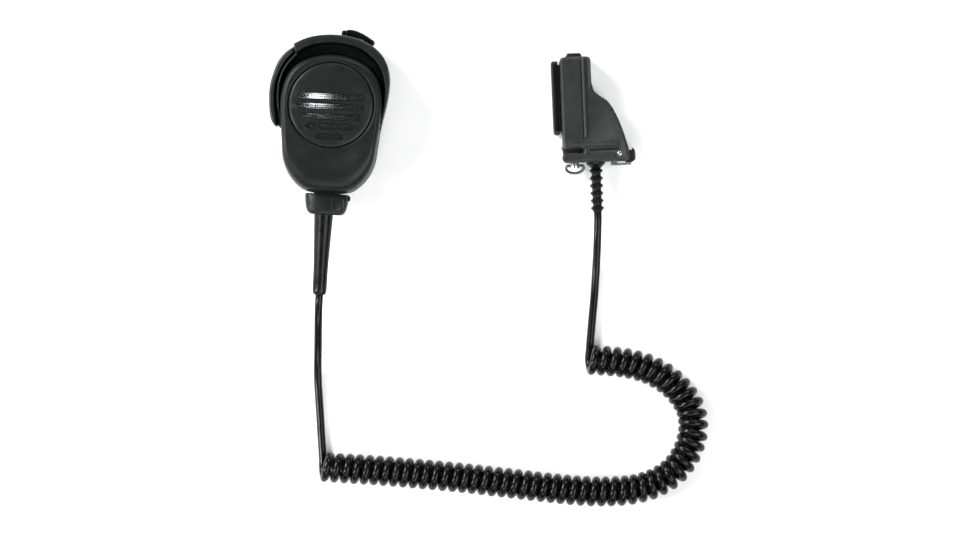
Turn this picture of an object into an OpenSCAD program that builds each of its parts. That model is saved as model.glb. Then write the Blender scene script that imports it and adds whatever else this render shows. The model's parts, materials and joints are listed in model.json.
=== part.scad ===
// Hand microphone with a built-in speaker, a curly cord and a multi-contact radio connector.
// It lies on its back: the speaker's axis and the clip's swivel axis are the Z axis,
// +Y points at the top of the microphone and the clip rests on the plane z = 0.

/* [Casing] */
// Thickness of the casing walls
wall = 2.2; // [1.8:0.1:2.4]
// Gap round the grille disc and its recess
grille_gap = 0.6; // [0.3:0.1:0.8]
// Height of each slot in the grille
slot_h = 3.0; // [2.4:0.1:3.4]
// Distance from one slot to the next
slot_pitch = 5.2; // [5:0.1:5.4]

/* [Clip] */
// Width of the clip plate
clip_w = 22; // [18:1:24]
// Radius of the swivel shank
swivel_r = 2.5; // [2.2:0.1:2.6]

/* [Cord] */
// Diameter of the cord
cord_d = 4.2; // [3.8:0.1:4.4]
// Outside diameter of the curly part
curl_d = 16; // [15:0.5:16]

/* [Connector] */
// Radius of the ribs on the connector's strain relief
rib_r = 3.5; // [3.2:0.1:3.8]
// Radius of the wire of the lock ring
ring_wire = 0.8; // [0.6:0.1:0.9]
// Radius of each contact pin
contact_r = 0.8; // [0.6:0.1:0.9]

/* [Hidden] */
$fn = 48;

// Heights above the table
back_z = 10;
part_z = back_z + 10;
rim_z = back_z + 23;
face_z = back_z + 26;
groove_z = part_z + 4;
floor_t = 2.2;
floor_z = back_z + floor_t;
ledge_z = face_z - 1.8;
roof_z = face_z - 3.5;
fit = 0.2;

// Half outlines, from the top centre clockwise to the bottom centre
head_half = [[0, 36.6], [11, 35.3], [19.8, 31.6], [25.4, 26.6], [28.3, 21], [29.5, 14], [29, 5],
    [27.4, -4], [25.9, -12], [25.1, -20], [24.2, -28], [21.6, -35], [17, -41], [11, -44.8], [0, -45.6]];
face_half = [[0, 26.3], [11, 24.4], [19.5, 19.6], [24.4, 12], [26.3, 2], [25.7, -9], [24.6, -19],
    [23.5, -28], [20.9, -34.6], [16.4, -40.4], [10.6, -44], [0, -44.8]];
rim_half = [[0, 32.4], [12.5, 30.3], [20.5, 25], [25.2, 18.5], [27.3, 10], [27.2, 0], [26.6, -8],
    [28, -18], [27, -30], [24, -40], [14, -48], [0, -49]];
steps = 5;

// Catmull-Rom curves through a list of points
function curve_at(a, b, c, d, t) =
    0.5 * (2 * b + (c - a) * t + (2 * a - 5 * b + 4 * c - d) * t * t + (3 * b - a - 3 * c + d) * t * t * t);
function closed_curve(p, n = steps) = let (m = len(p))
    [for (i = [0 : m - 1], k = [0 : n - 1])
        curve_at(p[(i + m - 1) % m], p[i], p[(i + 1) % m], p[(i + 2) % m], k / n)];
function open_curve(p, n = steps) = let (m = len(p))
    [for (i = [0 : m - 2], k = [0 : (i == m - 2 ? n : n - 1)])
        curve_at(p[max(i - 1, 0)], p[i], p[i + 1], p[min(i + 2, m - 1)], k / n)];
function both_sides(half) = closed_curve(concat(half, [for (i = [len(half) - 2 : -1 : 1]) [-half[i].x, half[i].y]]));
function unit(v) = v / norm(v);
function grow(p, d) = let (m = len(p))
    [for (i = [0 : m - 1]) let (t = unit(p[(i + 1) % m] - p[(i + m - 1) % m])) p[i] + d * [-t.y, t.x]];

head = both_sides(head_half);
face = both_sides(face_half);
rim = both_sides(rim_half);

// The talk button and its pocket, on the left side
button_outer = [[-28.6, -12.4], [-30.6, -9.4], [-31.8, -5], [-32.5, 3], [-32.3, 9], [-31, 15], [-28.9, 21],
    [-25.4, 26], [-21.6, 29]];
button_inner = [[-20.4, 26.6], [-24.6, 21.6], [-27.5, 16], [-29.2, 10], [-29.5, 3], [-28.7, -4], [-28.1, -8],
    [-27.6, -12.1]];
pocket = [[-34, -9], [-27.3, -5.5], [-27.9, -1], [-28.3, 3], [-28.1, 10], [-26.5, 16], [-23.8, 21], [-19.6, 25.9],
    [-23, 34], [-36, 34]];
shelf = [[-24, -14.5], [-27.3, -12.2], [-29.7, -8.8], [-31, -4], [-31.6, 3], [-31.3, 9], [-30, 15], [-28, 20.6],
    [-24.6, 25.4], [-21, 28.2], [-16, 24]];
button_low = back_z + 2.6;
button_high = rim_z - 1.5;
talk_pivot = [-21.3, 20.2];
switch_y = -3;
switch_z = back_z + 7.4;
board_z = back_z + 4.6;
board_t = 1.6;

// Speaker and microphone capsule
speaker = [0, 3.5];
speaker_r = 17;
capsule = [0, -17.8];
disc_r = 22.5;
slot_top = 4.3;
slot_half = [17.7, 17.7, 15.9, 12.7, 7.2];

// Earphone jack, at the top right; its axis leans away from +Y
jack_turn = -22;
jack_at = [12.6, 34.7, back_z + 6];
jack_r = 1.78;
cover_hinge = [4.6, 38];

// Screws
low_screws = [[17.5, -31], [-17.5, -31]];
high_screws = [[20.5, 18.3], [-11, 25.6]];
board_holes = [[14, 12], [-14, 12]];
screw_r = 1.25;

// Clip
clip_pivot = [11, 5];
clip_top = 22;
clip_end = -38;
plate_t = 1.6;

// Cord exits
exit_x = -1.2;
exit_z = back_z + 10;
collar_top = -45.7;
collar_end = -56.7;
boot_l = 41.8;
cord_r = cord_d / 2;

// Route of the cord, as points along its middle
mic_route = [[-1.2, -98.5, 20], [-1.2, -101, 20], [-1.2, -105, 19], [-1.1, -112, 16.2], [-0.9, -120, 11.6], [-0.7, -128, 7.3],
    [-0.5, -136, 4.1], [0, -144, 2.5], [0.9, -154, 2.1], [2, -162, 2.1], [3, -170, 2.1], [3.9, -179, 2.1],
    [4.4, -190, 2.1]];
radio_route = [[140.8, -133, 2.1], [140.9, -124, 2.1], [141.2, -112, 2.1], [141.6, -100, 2.1], [141.9, -92, 2.1],
    [142, -84, 2.3], [142.05, -76, 3.3], [142, -68, 5.4], [141.8, -60, 7.6], [141.48, -50.7, 8.5],
    [141.15, -47.15, 8.5]];
coil_route = [[6.6, -188], [21, -188.3], [35, -188.5], [49, -188.8], [63, -189.3], [77, -189.9], [91, -190.7],
    [105, -191.5], [119, -192.3], [133, -193], [145, -193.2], [157, -192.6], [168, -190.8], [178, -187.2],
    [187, -180.8], [193.4, -172], [196.6, -162], [196.8, -154.5], [194.6, -146.4], [189.6, -139.2], [182, -132.8],
    [172.5, -128], [162, -125.6], [151.5, -124.8], [143.1, -124.8]];

// Connector, in its own frame: origin on the cord's axis at the lower edge
connector_at = [139.1, -20.6, 0];
connector_turn = 5.5;
cable_x = -0.5;
conn_mid = 8.5;
conn_top = 17;
conn_wall = 1.8;
conn_low = -0.8;
conn_high = 54.3;
conn_left = -17.3;
shoulder = [[-1.1, 40], [0, 36.2], [2.6, 33.8], [6.6, 31], [9.2, 27.5], [12.2, 21], [14.6, 14], [16.9, 5.6]];
flange_x = [-21.8, -18.3];
flange_y = [14, 52.4];
contact_y = 18;
contact_pitch = 5.6;
contact_z = [5.4, 11.6];
lock_x = -11.5;
ring_r = 4.7;
ring_drop = 3.2;
rib_pitch = 3.9;
ribs = 6;

// ---------- helpers ----------
module lift(z, h) { translate([0, 0, z]) linear_extrude(h) children(); }
module along_y(at) { translate(at) rotate([-90, 0, 0]) children(); }
module along_x(at) { translate(at) rotate([0, 90, 0]) children(); }
module at_points(list, z = 0) { for (p = list) translate([p.x, p.y, z]) children(); }
module at_jack() { translate(jack_at) rotate([0, 0, jack_turn]) children(); }
module at_connector() { translate(connector_at) rotate([0, 0, connector_turn]) children(); }
module box(low, high) { translate(low) cube(high - low); }
module sector(a, b) { polygon([[0, 0], for (k = [0 : 6]) let (t = a + (b - a) * k / 6) 60 * [cos(t), sin(t)]]); }
module rod(r, h) { cylinder(r = r, h = h); }
module screw(head_r, head_h, shank_r, shank_h) {
    difference() {
        rod(head_r, head_h);
        translate([-head_r, -0.3, -1]) cube([2 * head_r, 0.6, 1.7]);
        translate([-0.3, -head_r, -1]) cube([0.6, 2 * head_r, 1.7]);
    }
    translate([0, 0, head_h]) rod(shank_r, shank_h);
}

// A round tube along a list of points, closed at both ends
module tube(path, r, sides = 8) {
    m = len(path);
    function way(i) = unit(path[min(i + 1, m - 1)] - path[max(i - 1, 0)]);
    rings = [for (i = [0 : m - 1])
        let (t = way(i), guide = abs(t.z) > 0.9 ? [1, 0, 0] : [0, 0, 1], u = unit(cross(guide, t)), v = cross(t, u))
        for (k = [0 : sides - 1]) path[i] + r * (cos(360 * k / sides) * u + sin(360 * k / sides) * v)];
    walls = [for (i = [0 : m - 2], k = [0 : sides - 1])
        let (a = i * sides + k, b = i * sides + (k + 1) % sides) [a, a + sides, b + sides, b]];
    polyhedron(rings, concat(walls, [[for (k = [0 : sides - 1]) k]],
        [[for (k = [sides - 1 : -1 : 0]) (m - 1) * sides + k]]), convexity = 6);
}
// The same round tube, joined end to end into a ring that lies flat
module loop(path, r, sides) {
    m = len(path);
    function way(i) = unit(path[(i + 1) % m] - path[(i + m - 1) % m]);
    rings = [for (i = [0 : m - 1]) let (u = unit(cross([0, 0, 1], way(i))))
        for (k = [0 : sides - 1]) path[i] + r * (cos(360 * k / sides) * u + [0, 0, sin(360 * k / sides)])];
    walls = [for (i = [0 : m - 1], k = [0 : sides - 1])
        let (j = (i + 1) % m, a = i * sides + k, b = i * sides + (k + 1) % sides)
        [a, j * sides + k, j * sides + (k + 1) % sides, b]];
    polyhedron(rings, walls, convexity = 6);
}
module wire(points, r) { tube(open_curve(points, 4), r, 6); }
module coil_spring(r, wire_r, turns, length) {
    tube([for (k = [0 : 10 * turns]) [r * cos(36 * k), r * sin(36 * k), wire_r + (length - 2 * wire_r) * k / (10 * turns)]],
        wire_r, 6);
}

// ---------- casing ----------
module wall_outline() {
    difference() {
        polygon(head);
        polygon(pocket);
    }
}
module hood_outline() {
    difference() {
        polygon(head);
        polygon(rim);
        polygon(pocket);
        translate([-60, -67]) square([120, 60]);
    }
}
module seal_ring() {
    difference() {
        offset(delta = -0.7) wall_outline();
        offset(delta = -1.5) wall_outline();
        translate([-7.3, -47]) square([14.6, 6]);
        translate(talk_pivot) circle(2.6);
    }
}
module collar_neck(gap) {
    box([-7 - gap, -47, exit_z - 5.5 - gap], [7 + gap, -41, exit_z + 5.5 + gap]);
}
module cover_lug(z) {
    lift(z, 1.3) {
        translate(cover_hinge) circle(1.5);
        translate(cover_hinge - [1.5, 2.8]) square([3, 2.8]);
    }
}
module rear_casing() {
    color([0.07, 0.08, 0.08])
    difference() {
        union() {
            difference() {
                union() {
                    lift(back_z, 2.4) polygon(head);
                    lift(back_z, 2.4) polygon(shelf);
                    lift(back_z + 2.3, part_z - back_z - 2.3) wall_outline();
                    lift(part_z - 0.01, rim_z - part_z + 0.01) hood_outline();
                }
                lift(floor_z, part_z - floor_z + 0.02) offset(delta = -wall) wall_outline();
            }
            intersection() {
                union() {
                    at_points(concat(low_screws, high_screws), back_z) rod(3.2, 6);
                    at_points(board_holes, back_z) rod(2.6, board_z - back_z);
                    translate([0, 0, back_z]) rod(5.4, 4.2);
                    translate([talk_pivot.x, talk_pivot.y, back_z]) rod(2, 3.6);
                }
                lift(back_z, 12) wall_outline();
            }
            cover_lug(back_z);
            cover_lug(part_z + 1);
        }
        lift(part_z - 0.7, 0.8) seal_ring();
        at_points(concat(low_screws, high_screws), back_z - 1) rod(screw_r + 0.15, 9);
        at_points(concat(low_screws, high_screws), back_z - 1) rod(2.7, 3.4);
        at_points(board_holes, back_z + 2.4) rod(1, 4);
        translate([0, 0, back_z - 1]) rod(swivel_r + 0.3, 3);
        translate([0, 0, back_z + 1.2]) rod(4.2, 4);
        translate([talk_pivot.x, talk_pivot.y, back_z + 1]) rod(1, 13);
        translate([cover_hinge.x, cover_hinge.y, back_z - 1]) rod(0.6, 14);
        at_jack() along_y([0, -12, 0]) rod(3.1, 14);
        along_x([-30, switch_y, switch_z]) rod(2, 7);
        collar_neck(0.1);
        lift(back_z + 3.6, part_z - back_z - 3.6 - 0.5) polygon([[-30, 12.4], [-22.5, 12.7], [-18, 18.4], [-19, 24.6], [-24, 26]]);
    }
}
module front_casing() {
    color([0.09, 0.10, 0.10])
    difference() {
        union() {
            difference() {
                union() {
                    lift(part_z, groove_z - part_z) difference() {
                        intersection() {
                            polygon(head);
                            polygon(grow(rim, -fit));
                        }
                        polygon(pocket);
                    }
                    lift(groove_z - 0.01, face_z - groove_z + 0.01) polygon(face);
                }
                lift(part_z - 0.01, roof_z - part_z + 0.01) polygon(grow(face, -wall));
            }
            at_points(low_screws, back_z + 6) rod(3, roof_z - back_z - 5.9);
            at_points(high_screws, back_z + 6) rod(2.7, groove_z - back_z - 6);
            translate([talk_pivot.x, talk_pivot.y, part_z]) rod(2, 3.6);
        }
        at_points(concat(low_screws, high_screws), back_z + 5) rod(screw_r, 7.6);
        translate([talk_pivot.x, talk_pivot.y, part_z - 1]) rod(1, 3.6);
        at_speaker_screws() rod(0.6, 3.4);
        translate([0, 0, ledge_z]) rod(disc_r, 5);
        translate([speaker.x, speaker.y, roof_z - 1]) rod(15.5, 5);
        translate([capsule.x, capsule.y + 0.8, roof_z - 1]) rod(1.6, 5);
        collar_neck(0.1);
    }
}
module casing_seal() { color([0.2, 0.2, 0.2]) lift(part_z - 0.7, 0.7) seal_ring(); }
module casing_screws() {
    color([0.6, 0.6, 0.62]) at_points(concat(low_screws, high_screws), back_z + 0.7) screw(2.4, 1.7, screw_r, 9.8);
}

// ---------- grille, speaker and microphone capsule ----------
module slots() {
    for (i = [0 : len(slot_half) - 1]) translate([0, slot_top - i * slot_pitch])
        for (side = [-1, 1]) union() {
            translate([side * (slot_half[i] - slot_h / 2), 0]) circle(slot_h / 2);
            translate([side > 0 ? 0 : -slot_half[i] + slot_h / 2, -slot_h / 2]) square([slot_half[i] - slot_h / 2, slot_h]);
        }
}
module grille_disc() {
    color([0.1, 0.11, 0.11]) lift(ledge_z + 0.3, 1.6) difference() {
        circle(disc_r - grille_gap);
        slots();
    }
}
module grille_mesh() { color([0.55, 0.56, 0.56]) translate([0, 0, ledge_z]) rod(disc_r - grille_gap, 0.3); }
module at_speaker_screws() {
    for (a = [90, 210, 330]) translate([speaker.x, speaker.y, roof_z - 2.2]) rotate([0, 0, a])
        translate([speaker_r + 0.9, 0, 0]) children();
}
module speaker_gasket() {
    color([0.15, 0.15, 0.15]) lift(roof_z - 0.6, 0.6) translate(speaker) difference() {
        circle(speaker_r);
        circle(15.5);
    }
}
module speaker_frame() {
    z = roof_z - 0.6;
    color([0.5, 0.5, 0.5]) translate([speaker.x, speaker.y, 0]) rotate_extrude()
        polygon([[15.2, z], [speaker_r, z], [speaker_r, z - 0.9], [15.8, z - 0.9], [10, z - 6], [3.6, z - 6],
            [3.6, z - 5.2], [9.4, z - 5.2], [15.2, z - 0.5]]);
}
module speaker_cone() {
    z = roof_z - 0.7;
    color([0.2, 0.2, 0.2]) translate([speaker.x, speaker.y, 0]) rotate_extrude()
        polygon([[0, z - 1.4], [2.6, z - 2], [4, z - 3.6], [13.4, z - 0.5], [14.4, z], [15.1, z - 0.3], [15.1, z - 0.4],
            [14.4, z - 0.3], [13.4, z - 1], [4, z - 4.1], [2.3, z - 2.4], [0, z - 1.8]]);
}
module voice_coil() {
    color([0.7, 0.4, 0.2]) lift(roof_z - 6.4, 1.8) translate(speaker) difference() {
        circle(3.5);
        circle(3);
    }
}
module speaker_magnet() {
    z = roof_z - 6.6;
    color([0.35, 0.35, 0.37]) translate([speaker.x, speaker.y, z - 3.4]) difference() {
        rod(9, 3.4);
        translate([0, 0, 3]) rod(8.2, 1);
    }
}
module speaker_screws() {
    color([0.6, 0.6, 0.6]) at_speaker_screws() union() {
        rod(2, 0.7);
        rod(0.6, 3.3);
    }
}
module mic_holder() {
    color([0.12, 0.12, 0.12]) translate([capsule.x, capsule.y, roof_z - 4]) difference() {
        rod(3.8, 4);
        translate([0, 0, -1]) rod(3, 4);
        rod(1.2, 5);
    }
}
module mic_capsule() {
    color([0.75, 0.75, 0.76]) translate([capsule.x, capsule.y, roof_z - 3.6]) rod(3, 2.6);
}

// ---------- electronics ----------
module circuit_board() {
    color([0.05, 0.3, 0.15]) lift(board_z, board_t) difference() {
        polygon([[-19, -24], [-12, -31], [12, -31], [19, -24], [20, 8], [15, 17], [-13, 17], [-20, 8]]);
        for (p = board_holes) translate(p) circle(1.1);
    }
}
module board_parts() {
    color([0.1, 0.1, 0.1]) translate([0, 0, board_z + board_t]) {
        box([-6, 6, 0], [4, 12, 1.4]);
        box([8, -6, 0], [14, 0, 1.4]);
        for (k = [0 : 4]) box([-12 + 4 * k, -14, 0], [-10.4 + 4 * k, -11, 1]);
        for (k = [0 : 2]) translate([9 + 4.6 * (k % 2), -14 - 4.4 * k, 0]) rod(1.9, 3);
    }
}
module board_screws() {
    color([0.6, 0.6, 0.62]) at_points(board_holes, board_z + board_t + 1.2) mirror([0, 0, 1]) screw(2, 1.2, 1, 3.4);
}
module wire_plug() {
    color([0.9, 0.88, 0.8]) difference() {
        box([-6, -29, board_z + board_t], [4, -24, board_z + board_t + 4]);
        for (k = [0 : 3]) box([-5 + 2.2 * k, -30, board_z + board_t + 1.2], [-4 + 2.2 * k, -26, board_z + board_t + 2.6]);
    }
}
module wire_set() {
    color([0.7, 0.15, 0.1]) for (k = [0 : 3]) let (x = -4.5 + 2.2 * k)
        wire([[exit_x + 0.85 * (k - 1.5), -35.4, exit_z], [x * 0.8, -33.5, exit_z - 0.3],
            [x, -31.4, board_z + board_t + 3], [x, -29.4, board_z + board_t + 1.9], [x, -27.6, board_z + board_t + 1.9]], 0.45);
}

// ---------- talk button ----------
module talk_button() {
    arm = [[-29, 15.4], [-25.6, 20.6], [-21.8, 22.6], [-19.4, 21.8], [-19.1, 19.3], [-21, 17.8], [-24.5, 15.8],
        [-28.4, 14.6]];
    color([0.06, 0.06, 0.06]) difference() {
        union() {
            lift(button_low, button_high - button_low) polygon(concat(open_curve(button_outer), open_curve(button_inner)));
            lift(back_z + 4, part_z - back_z - 4.8) difference() {
                union() {
                    polygon(arm);
                    translate(talk_pivot) circle(2.4);
                }
                translate([-40, -20]) square([10, 60]);
            }
            along_x([-30, switch_y, switch_z]) rod(1.5, 3.7);
        }
        translate([talk_pivot.x, talk_pivot.y, 0]) rod(1.06, 50);
    }
}
module talk_pin() { color([0.75, 0.75, 0.76]) translate([talk_pivot.x, talk_pivot.y, back_z + 1]) rod(1, part_z - back_z + 1.6); }
module switch_body() {
    color([0.15, 0.15, 0.17]) difference() {
        box([-24, switch_y - 3, board_z + board_t], [-18.6, switch_y + 3, board_z + board_t + 3]);
        along_x([-25, switch_y, switch_z]) rod(1.16, 3.2);
    }
}
module switch_plunger() { color([0.9, 0.9, 0.88]) along_x([-26.2, switch_y, switch_z]) rod(1.1, 3.3); }

// ---------- earphone jack ----------
module earphone_jack() {
    color([0.2, 0.2, 0.22]) at_jack() difference() {
        union() {
            along_y([0, -6, 0]) rod(3, 7);
            box([-3.4, -15, -3.4], [3.4, -5.8, 3.4]);
        }
        along_y([0, -13, 0]) rod(jack_r, 15);
    }
}
module jack_nut() {
    color([0.78, 0.78, 0.8]) at_jack() along_y([0, 0.5, 0]) difference() {
        rod(4.1, 0.8);
        translate([0, 0, -1]) rod(3, 3);
    }
}
module jack_cover() {
    low = back_z + 1.5;
    color([0.05, 0.05, 0.05]) difference() {
        union() {
            lift(low, 9.3) intersection() {
                difference() {
                    polygon(grow(head, 3.2));
                    polygon(grow(head, 0.3));
                }
                sector(60.4, 82.2);
            }
            translate([cover_hinge.x, cover_hinge.y, low]) rod(1.3, 9.3);
        }
        at_jack() along_y([0, -1, 0]) rod(4.6, 2.6);
        translate([cover_hinge.x, cover_hinge.y, 0]) rod(0.66, 50);
    }
}
module jack_cover_pin() {
    color([0.75, 0.75, 0.76]) translate([cover_hinge.x, cover_hinge.y, back_z]) rod(0.6, 12.3);
}

// ---------- clip ----------
module clip_insert() {
    color([0.8, 0.65, 0.3]) translate([0, 0, back_z + 1.2]) difference() {
        rod(4.2, 3);
        translate([0, 0, -1]) rod(1.9, 5);
    }
}
module clip_screw() {
    color([0.6, 0.6, 0.62]) {
        translate([0, 0, 6]) difference() {
            rod(4.4, 1.6);
            translate([0, 0, -1]) cylinder(r = 1.6, h = 1.9, $fn = 6);
        }
        translate([0, 0, 7.6]) rod(swivel_r, back_z - 6.4);
        translate([0, 0, back_z + 1.2]) rod(1.9, 2.8);
    }
}
module clip_washer() {
    color([0.78, 0.78, 0.8]) translate([0, 0, 7.6]) difference() {
        rod(5.4, 0.4);
        translate([0, 0, -1]) rod(swivel_r, 3);
    }
}
module clip_base() {
    color([0.1, 0.1, 0.1]) difference() {
        union() {
            translate([0, 0, 8.1]) rod(11, 1.7);
            box([-8, clip_end, 8.1], [8, 15, 9.8]);
            for (side = [-1, 1]) hull() {
                along_x([side * 7 - 1, clip_pivot.x, clip_pivot.y]) rod(2.4, 2);
                box([side * 7 - 1, 7, 8.1], [side * 7 + 1, 15, 9]);
            }
            for (k = [0 : 2]) box([-8, clip_end + 0.2 + 2 * k, 7.4], [8, clip_end + 1.2 + 2 * k, 8.2]);
        }
        translate([0, 0, 7]) rod(swivel_r + 0.05, 4);
        along_x([-12, clip_pivot.x, clip_pivot.y]) rod(1.2, 24);
    }
}
module clip_plate() {
    w = clip_w / 2;
    color([0.12, 0.12, 0.12]) difference() {
        union() {
            box([-w, clip_end + 1, 0], [w, clip_top - 4, plate_t]);
            translate([0, clip_top - 8, 0]) intersection() {
                rod(w + 1, plate_t);
                box([-w, 3, 0], [w, 12, plate_t]);
            }
            box([-w + 2, clip_end + 0.2, 0], [w - 2, clip_end + 1.2, 7.2]);
            for (side = [-1, 1]) hull() {
                along_x([side * 9.3 - 1, clip_pivot.x, clip_pivot.y]) rod(2.4, 2);
                box([side * 9.3 - 1, 6, 0], [side * 9.3 + 1, 16, 1]);
            }
            for (k = [0 : 3]) box([-w + 3, clip_top - 8 + 2 * k, -0], [w - 3, clip_top - 7.2 + 2 * k, plate_t + 0.5]);
        }
        along_x([-12, clip_pivot.x, clip_pivot.y]) rod(1.26, 24);
    }
}
module clip_pin() { color([0.75, 0.75, 0.76]) along_x([-10.2, clip_pivot.x, clip_pivot.y]) rod(1.2, 20.4); }
module clip_spring() {
    color([0.7, 0.7, 0.72]) {
        along_x([-4.5, clip_pivot.x, clip_pivot.y]) coil_spring(1.8, 0.4, 6, 9);
        wire([[-4.1, clip_pivot.x, clip_pivot.y + 1.8], [-4.1, clip_pivot.x - 3, clip_pivot.y + 2.2], [-4.1, clip_pivot.x - 7, 7.6]], 0.4);
        wire([[4.1, clip_pivot.x, clip_pivot.y - 1.8], [4.1, clip_pivot.x - 4, 2.6], [4.1, clip_pivot.x - 9, 2.1]], 0.4);
    }
}

// ---------- cord and its exit from the microphone ----------
module cord_collar() {
    color([0.08, 0.09, 0.09]) difference() {
        union() {
            hull() {
                box([-11.2, collar_top - 1, exit_z - 6], [11.2, collar_top, exit_z + 6.2]);
                box([-10.4, collar_end + 3, exit_z - 7.2], [10.4, collar_end + 4, exit_z + 7.4]);
                box([-7.4, collar_end, exit_z - 6], [7.4, collar_end + 0.5, exit_z + 6.2]);
            }
            collar_neck(0);
            box([-8, -41.7, exit_z - 5], [8, -40.5, exit_z + 7]);
        }
        along_y([exit_x, -60, exit_z]) rod(5, 8.3);
        along_y([exit_x, -60, exit_z]) rod(cord_r, 30);
    }
}
module cord_boot() {
    color([0.05, 0.05, 0.05]) along_y([exit_x, collar_end, exit_z]) mirror([0, 0, 1]) rotate_extrude()
        polygon([[cord_r, -5], [5, -5], [4.95, 0], [4.5, 10], [3.95, 22], [3.75, 30], [3.75, 36], [3.3, 39.6],
            [2.7, boot_l], [cord_r, boot_l]]);
}
module cord_tail() {
    color([0.05, 0.05, 0.05]) along_y([exit_x, collar_end - boot_l, exit_z]) rod(cord_r, boot_l + 21);
}
module cord_clamp() {
    color([0.75, 0.75, 0.76]) along_y([exit_x, -40.4, exit_z]) difference() {
        rod(3.3, 4.4);
        translate([0, 0, -1]) rod(cord_r, 8);
    }
}
module cord_mic_lead() { color([0.04, 0.04, 0.04]) tube(mic_route, cord_r); }
module cord_radio_lead() { color([0.04, 0.04, 0.04]) tube(radio_route, cord_r); }
module cord_coil() {
    color([0.03, 0.03, 0.03]) tube([for (p = coil_route) [p.x, p.y, curl_d / 2]], curl_d / 2, 12);
}

// ---------- radio connector ----------
module conn_outline() {
    polygon(concat([[conn_left - 1, conn_low], [conn_left - 1, 12], [conn_left, 12.6], [conn_left, conn_high],
        [-1.1, conn_high]], open_curve(shoulder, 3), [[16.9, conn_low]]));
}
module tab_notch() {
    box([13.2, conn_low - 1, 2.5], [16, 5.2, 14.5]);
    box([15.9, conn_low - 1, 3.6], [20, 5.2, 13.4]);
}
module conn_openings() {
    box([conn_left - 2, 15.8, 3.2], [conn_left + 3, 50.6, 13.8]);
    box([-14.1, 49, 4.9], [-5.4, 60, 12.1]);
    along_y([cable_x, -2, conn_mid]) rod(cord_r + 0.9, 4);
    along_y([cable_x, 1.2, conn_mid]) rod(5.2, 2.2);
    along_y([cable_x, 1.2, conn_mid]) rod(cord_r, 12);
    along_y([lock_x, -2, conn_mid]) rod(1.55, 12);
    box([conn_left - 2, 4.2, 5], [-6.2, 8.2, 12]);
    tab_notch();
    along_x([8, 1.8, conn_mid]) rod(1.7, 8);
}
module conn_shell(low, high) {
    difference() {
        lift(low, high - low) conn_outline();
        lift(conn_wall, conn_top - 2 * conn_wall) intersection() {
            offset(delta = -conn_wall) conn_outline();
            translate([-30, 10]) square([60, 60]);
        }
        conn_openings();
    }
}
conn_holes = [[-3, 51.2], [11.6, 12.4], [-15.2, 10.6]];
module connector_front() {
    color([0.16, 0.18, 0.17]) difference() {
        union() {
            conn_shell(conn_mid, conn_top);
            lift(conn_top - 0.01, 0.8) intersection() {
                conn_outline();
                translate([-17.3, 9.6]) square([12, 60]);
            }
            intersection() {
                at_points(conn_holes, conn_mid) rod(2.2, conn_top - conn_mid - 1);
                lift(conn_mid, conn_top) conn_outline();
            }
        }
        at_points(conn_holes, conn_mid - 1) rod(0.8, 6);
        box([conn_left - 2, 4.2, 11], [-6.2, 6.2, 20]);
    }
}
module connector_back() {
    color([0.15, 0.17, 0.16]) difference() {
        union() {
            conn_shell(0, conn_mid);
            intersection() {
                at_points(conn_holes, 0) rod(2.2, conn_mid);
                lift(0, conn_mid) conn_outline();
            }
        }
        at_points(conn_holes, -1) rod(0.95, 20);
        at_points(conn_holes, -1) rod(1.8, 3);
    }
}
module connector_screws() { color([0.6, 0.6, 0.62]) at_points(conn_holes, 0.6) screw(1.6, 1.4, 0.8, 11); }
module connector_flange() {
    color([0.12, 0.13, 0.13]) difference() {
        union() {
            box([flange_x[0], flange_y[0], 1], [flange_x[1], flange_y[1], 16]);
            box([flange_x[1] - 0.1, 15.9, 3.3], [conn_left + 2, 50.5, 13.7]);
        }
        box([-30, 17, 4], [-10, 49.4, 13]);
        box([flange_x[0] - 1, 15.2, 2.2], [flange_x[0] + 0.9, 51.2, 14.8]);
    }
}
module contact_seal() {
    color([0.25, 0.25, 0.25]) difference() {
        box([flange_x[0] + 0.1, 15.2, 2.2], [flange_x[0] + 0.9, 51.2, 14.8]);
        box([-30, 17, 4], [-10, 49.4, 13]);
    }
}
module contact_places() {
    for (z = contact_z, k = [0 : 5]) along_x([flange_x[0] + 0.3, contact_y + 1.2 + contact_pitch * k, z]) children();
}
module contact_block() {
    color([0.2, 0.2, 0.22]) difference() {
        box([flange_x[0] + 1.2, 17, 4], [-15.3, 49.4, 13]);
        contact_places() rod(contact_r + 0.05, 8);
    }
}
module contact_pins() { color([0.85, 0.68, 0.3]) contact_places() rod(contact_r, 5.4); }
module contact_board() { color([0.05, 0.3, 0.15]) box([-15.3 + 0.01, 17, 4], [-14.1, 49, 13]); }
module connector_wires() {
    color([0.7, 0.15, 0.1]) for (k = [0 : 3])
        wire([[cable_x + 1.1 * (k - 1.5), 15.1, conn_mid], [1.3 * (k - 1.5) - 1.2, 19, conn_mid], [-6 + k, 24 + 3 * k, conn_mid],
            [-11, 25 + 5 * k, conn_mid], [-14, 25 + 5 * k, conn_mid]], 0.45);
}
module connector_clamp() {
    color([0.75, 0.75, 0.76]) along_y([cable_x, 10.4, conn_mid]) difference() {
        rod(3.2, 4);
        translate([0, 0, -1]) rod(cord_r, 8);
    }
}
module connector_boot() {
    neck = 2.5;
    zigzag = [for (k = [0 : ribs - 1]) each [[rib_r, 4.5 + rib_pitch * k], [rib_r, 5.4 + rib_pitch * k],
        [neck, 6.9 + rib_pitch * k]]];
    color([0.05, 0.05, 0.05]) along_y([cable_x, 0, conn_mid]) mirror([0, 0, 1]) rotate_extrude() polygon(concat(
        [[cord_r, -3.3], [5.1, -3.3], [5.1, -1.3], [cord_r + 0.8, -1.3], [cord_r + 0.8, 0.8], [5.2, 0.8], [4.6, 2.2],
            [neck + 0.3, 3.4]], zigzag, [[cord_r, 26.4]]));
}
module connector_tail() { color([0.05, 0.05, 0.05]) along_y([cable_x, -26.6, conn_mid]) rod(cord_r, 41.6); }
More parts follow.
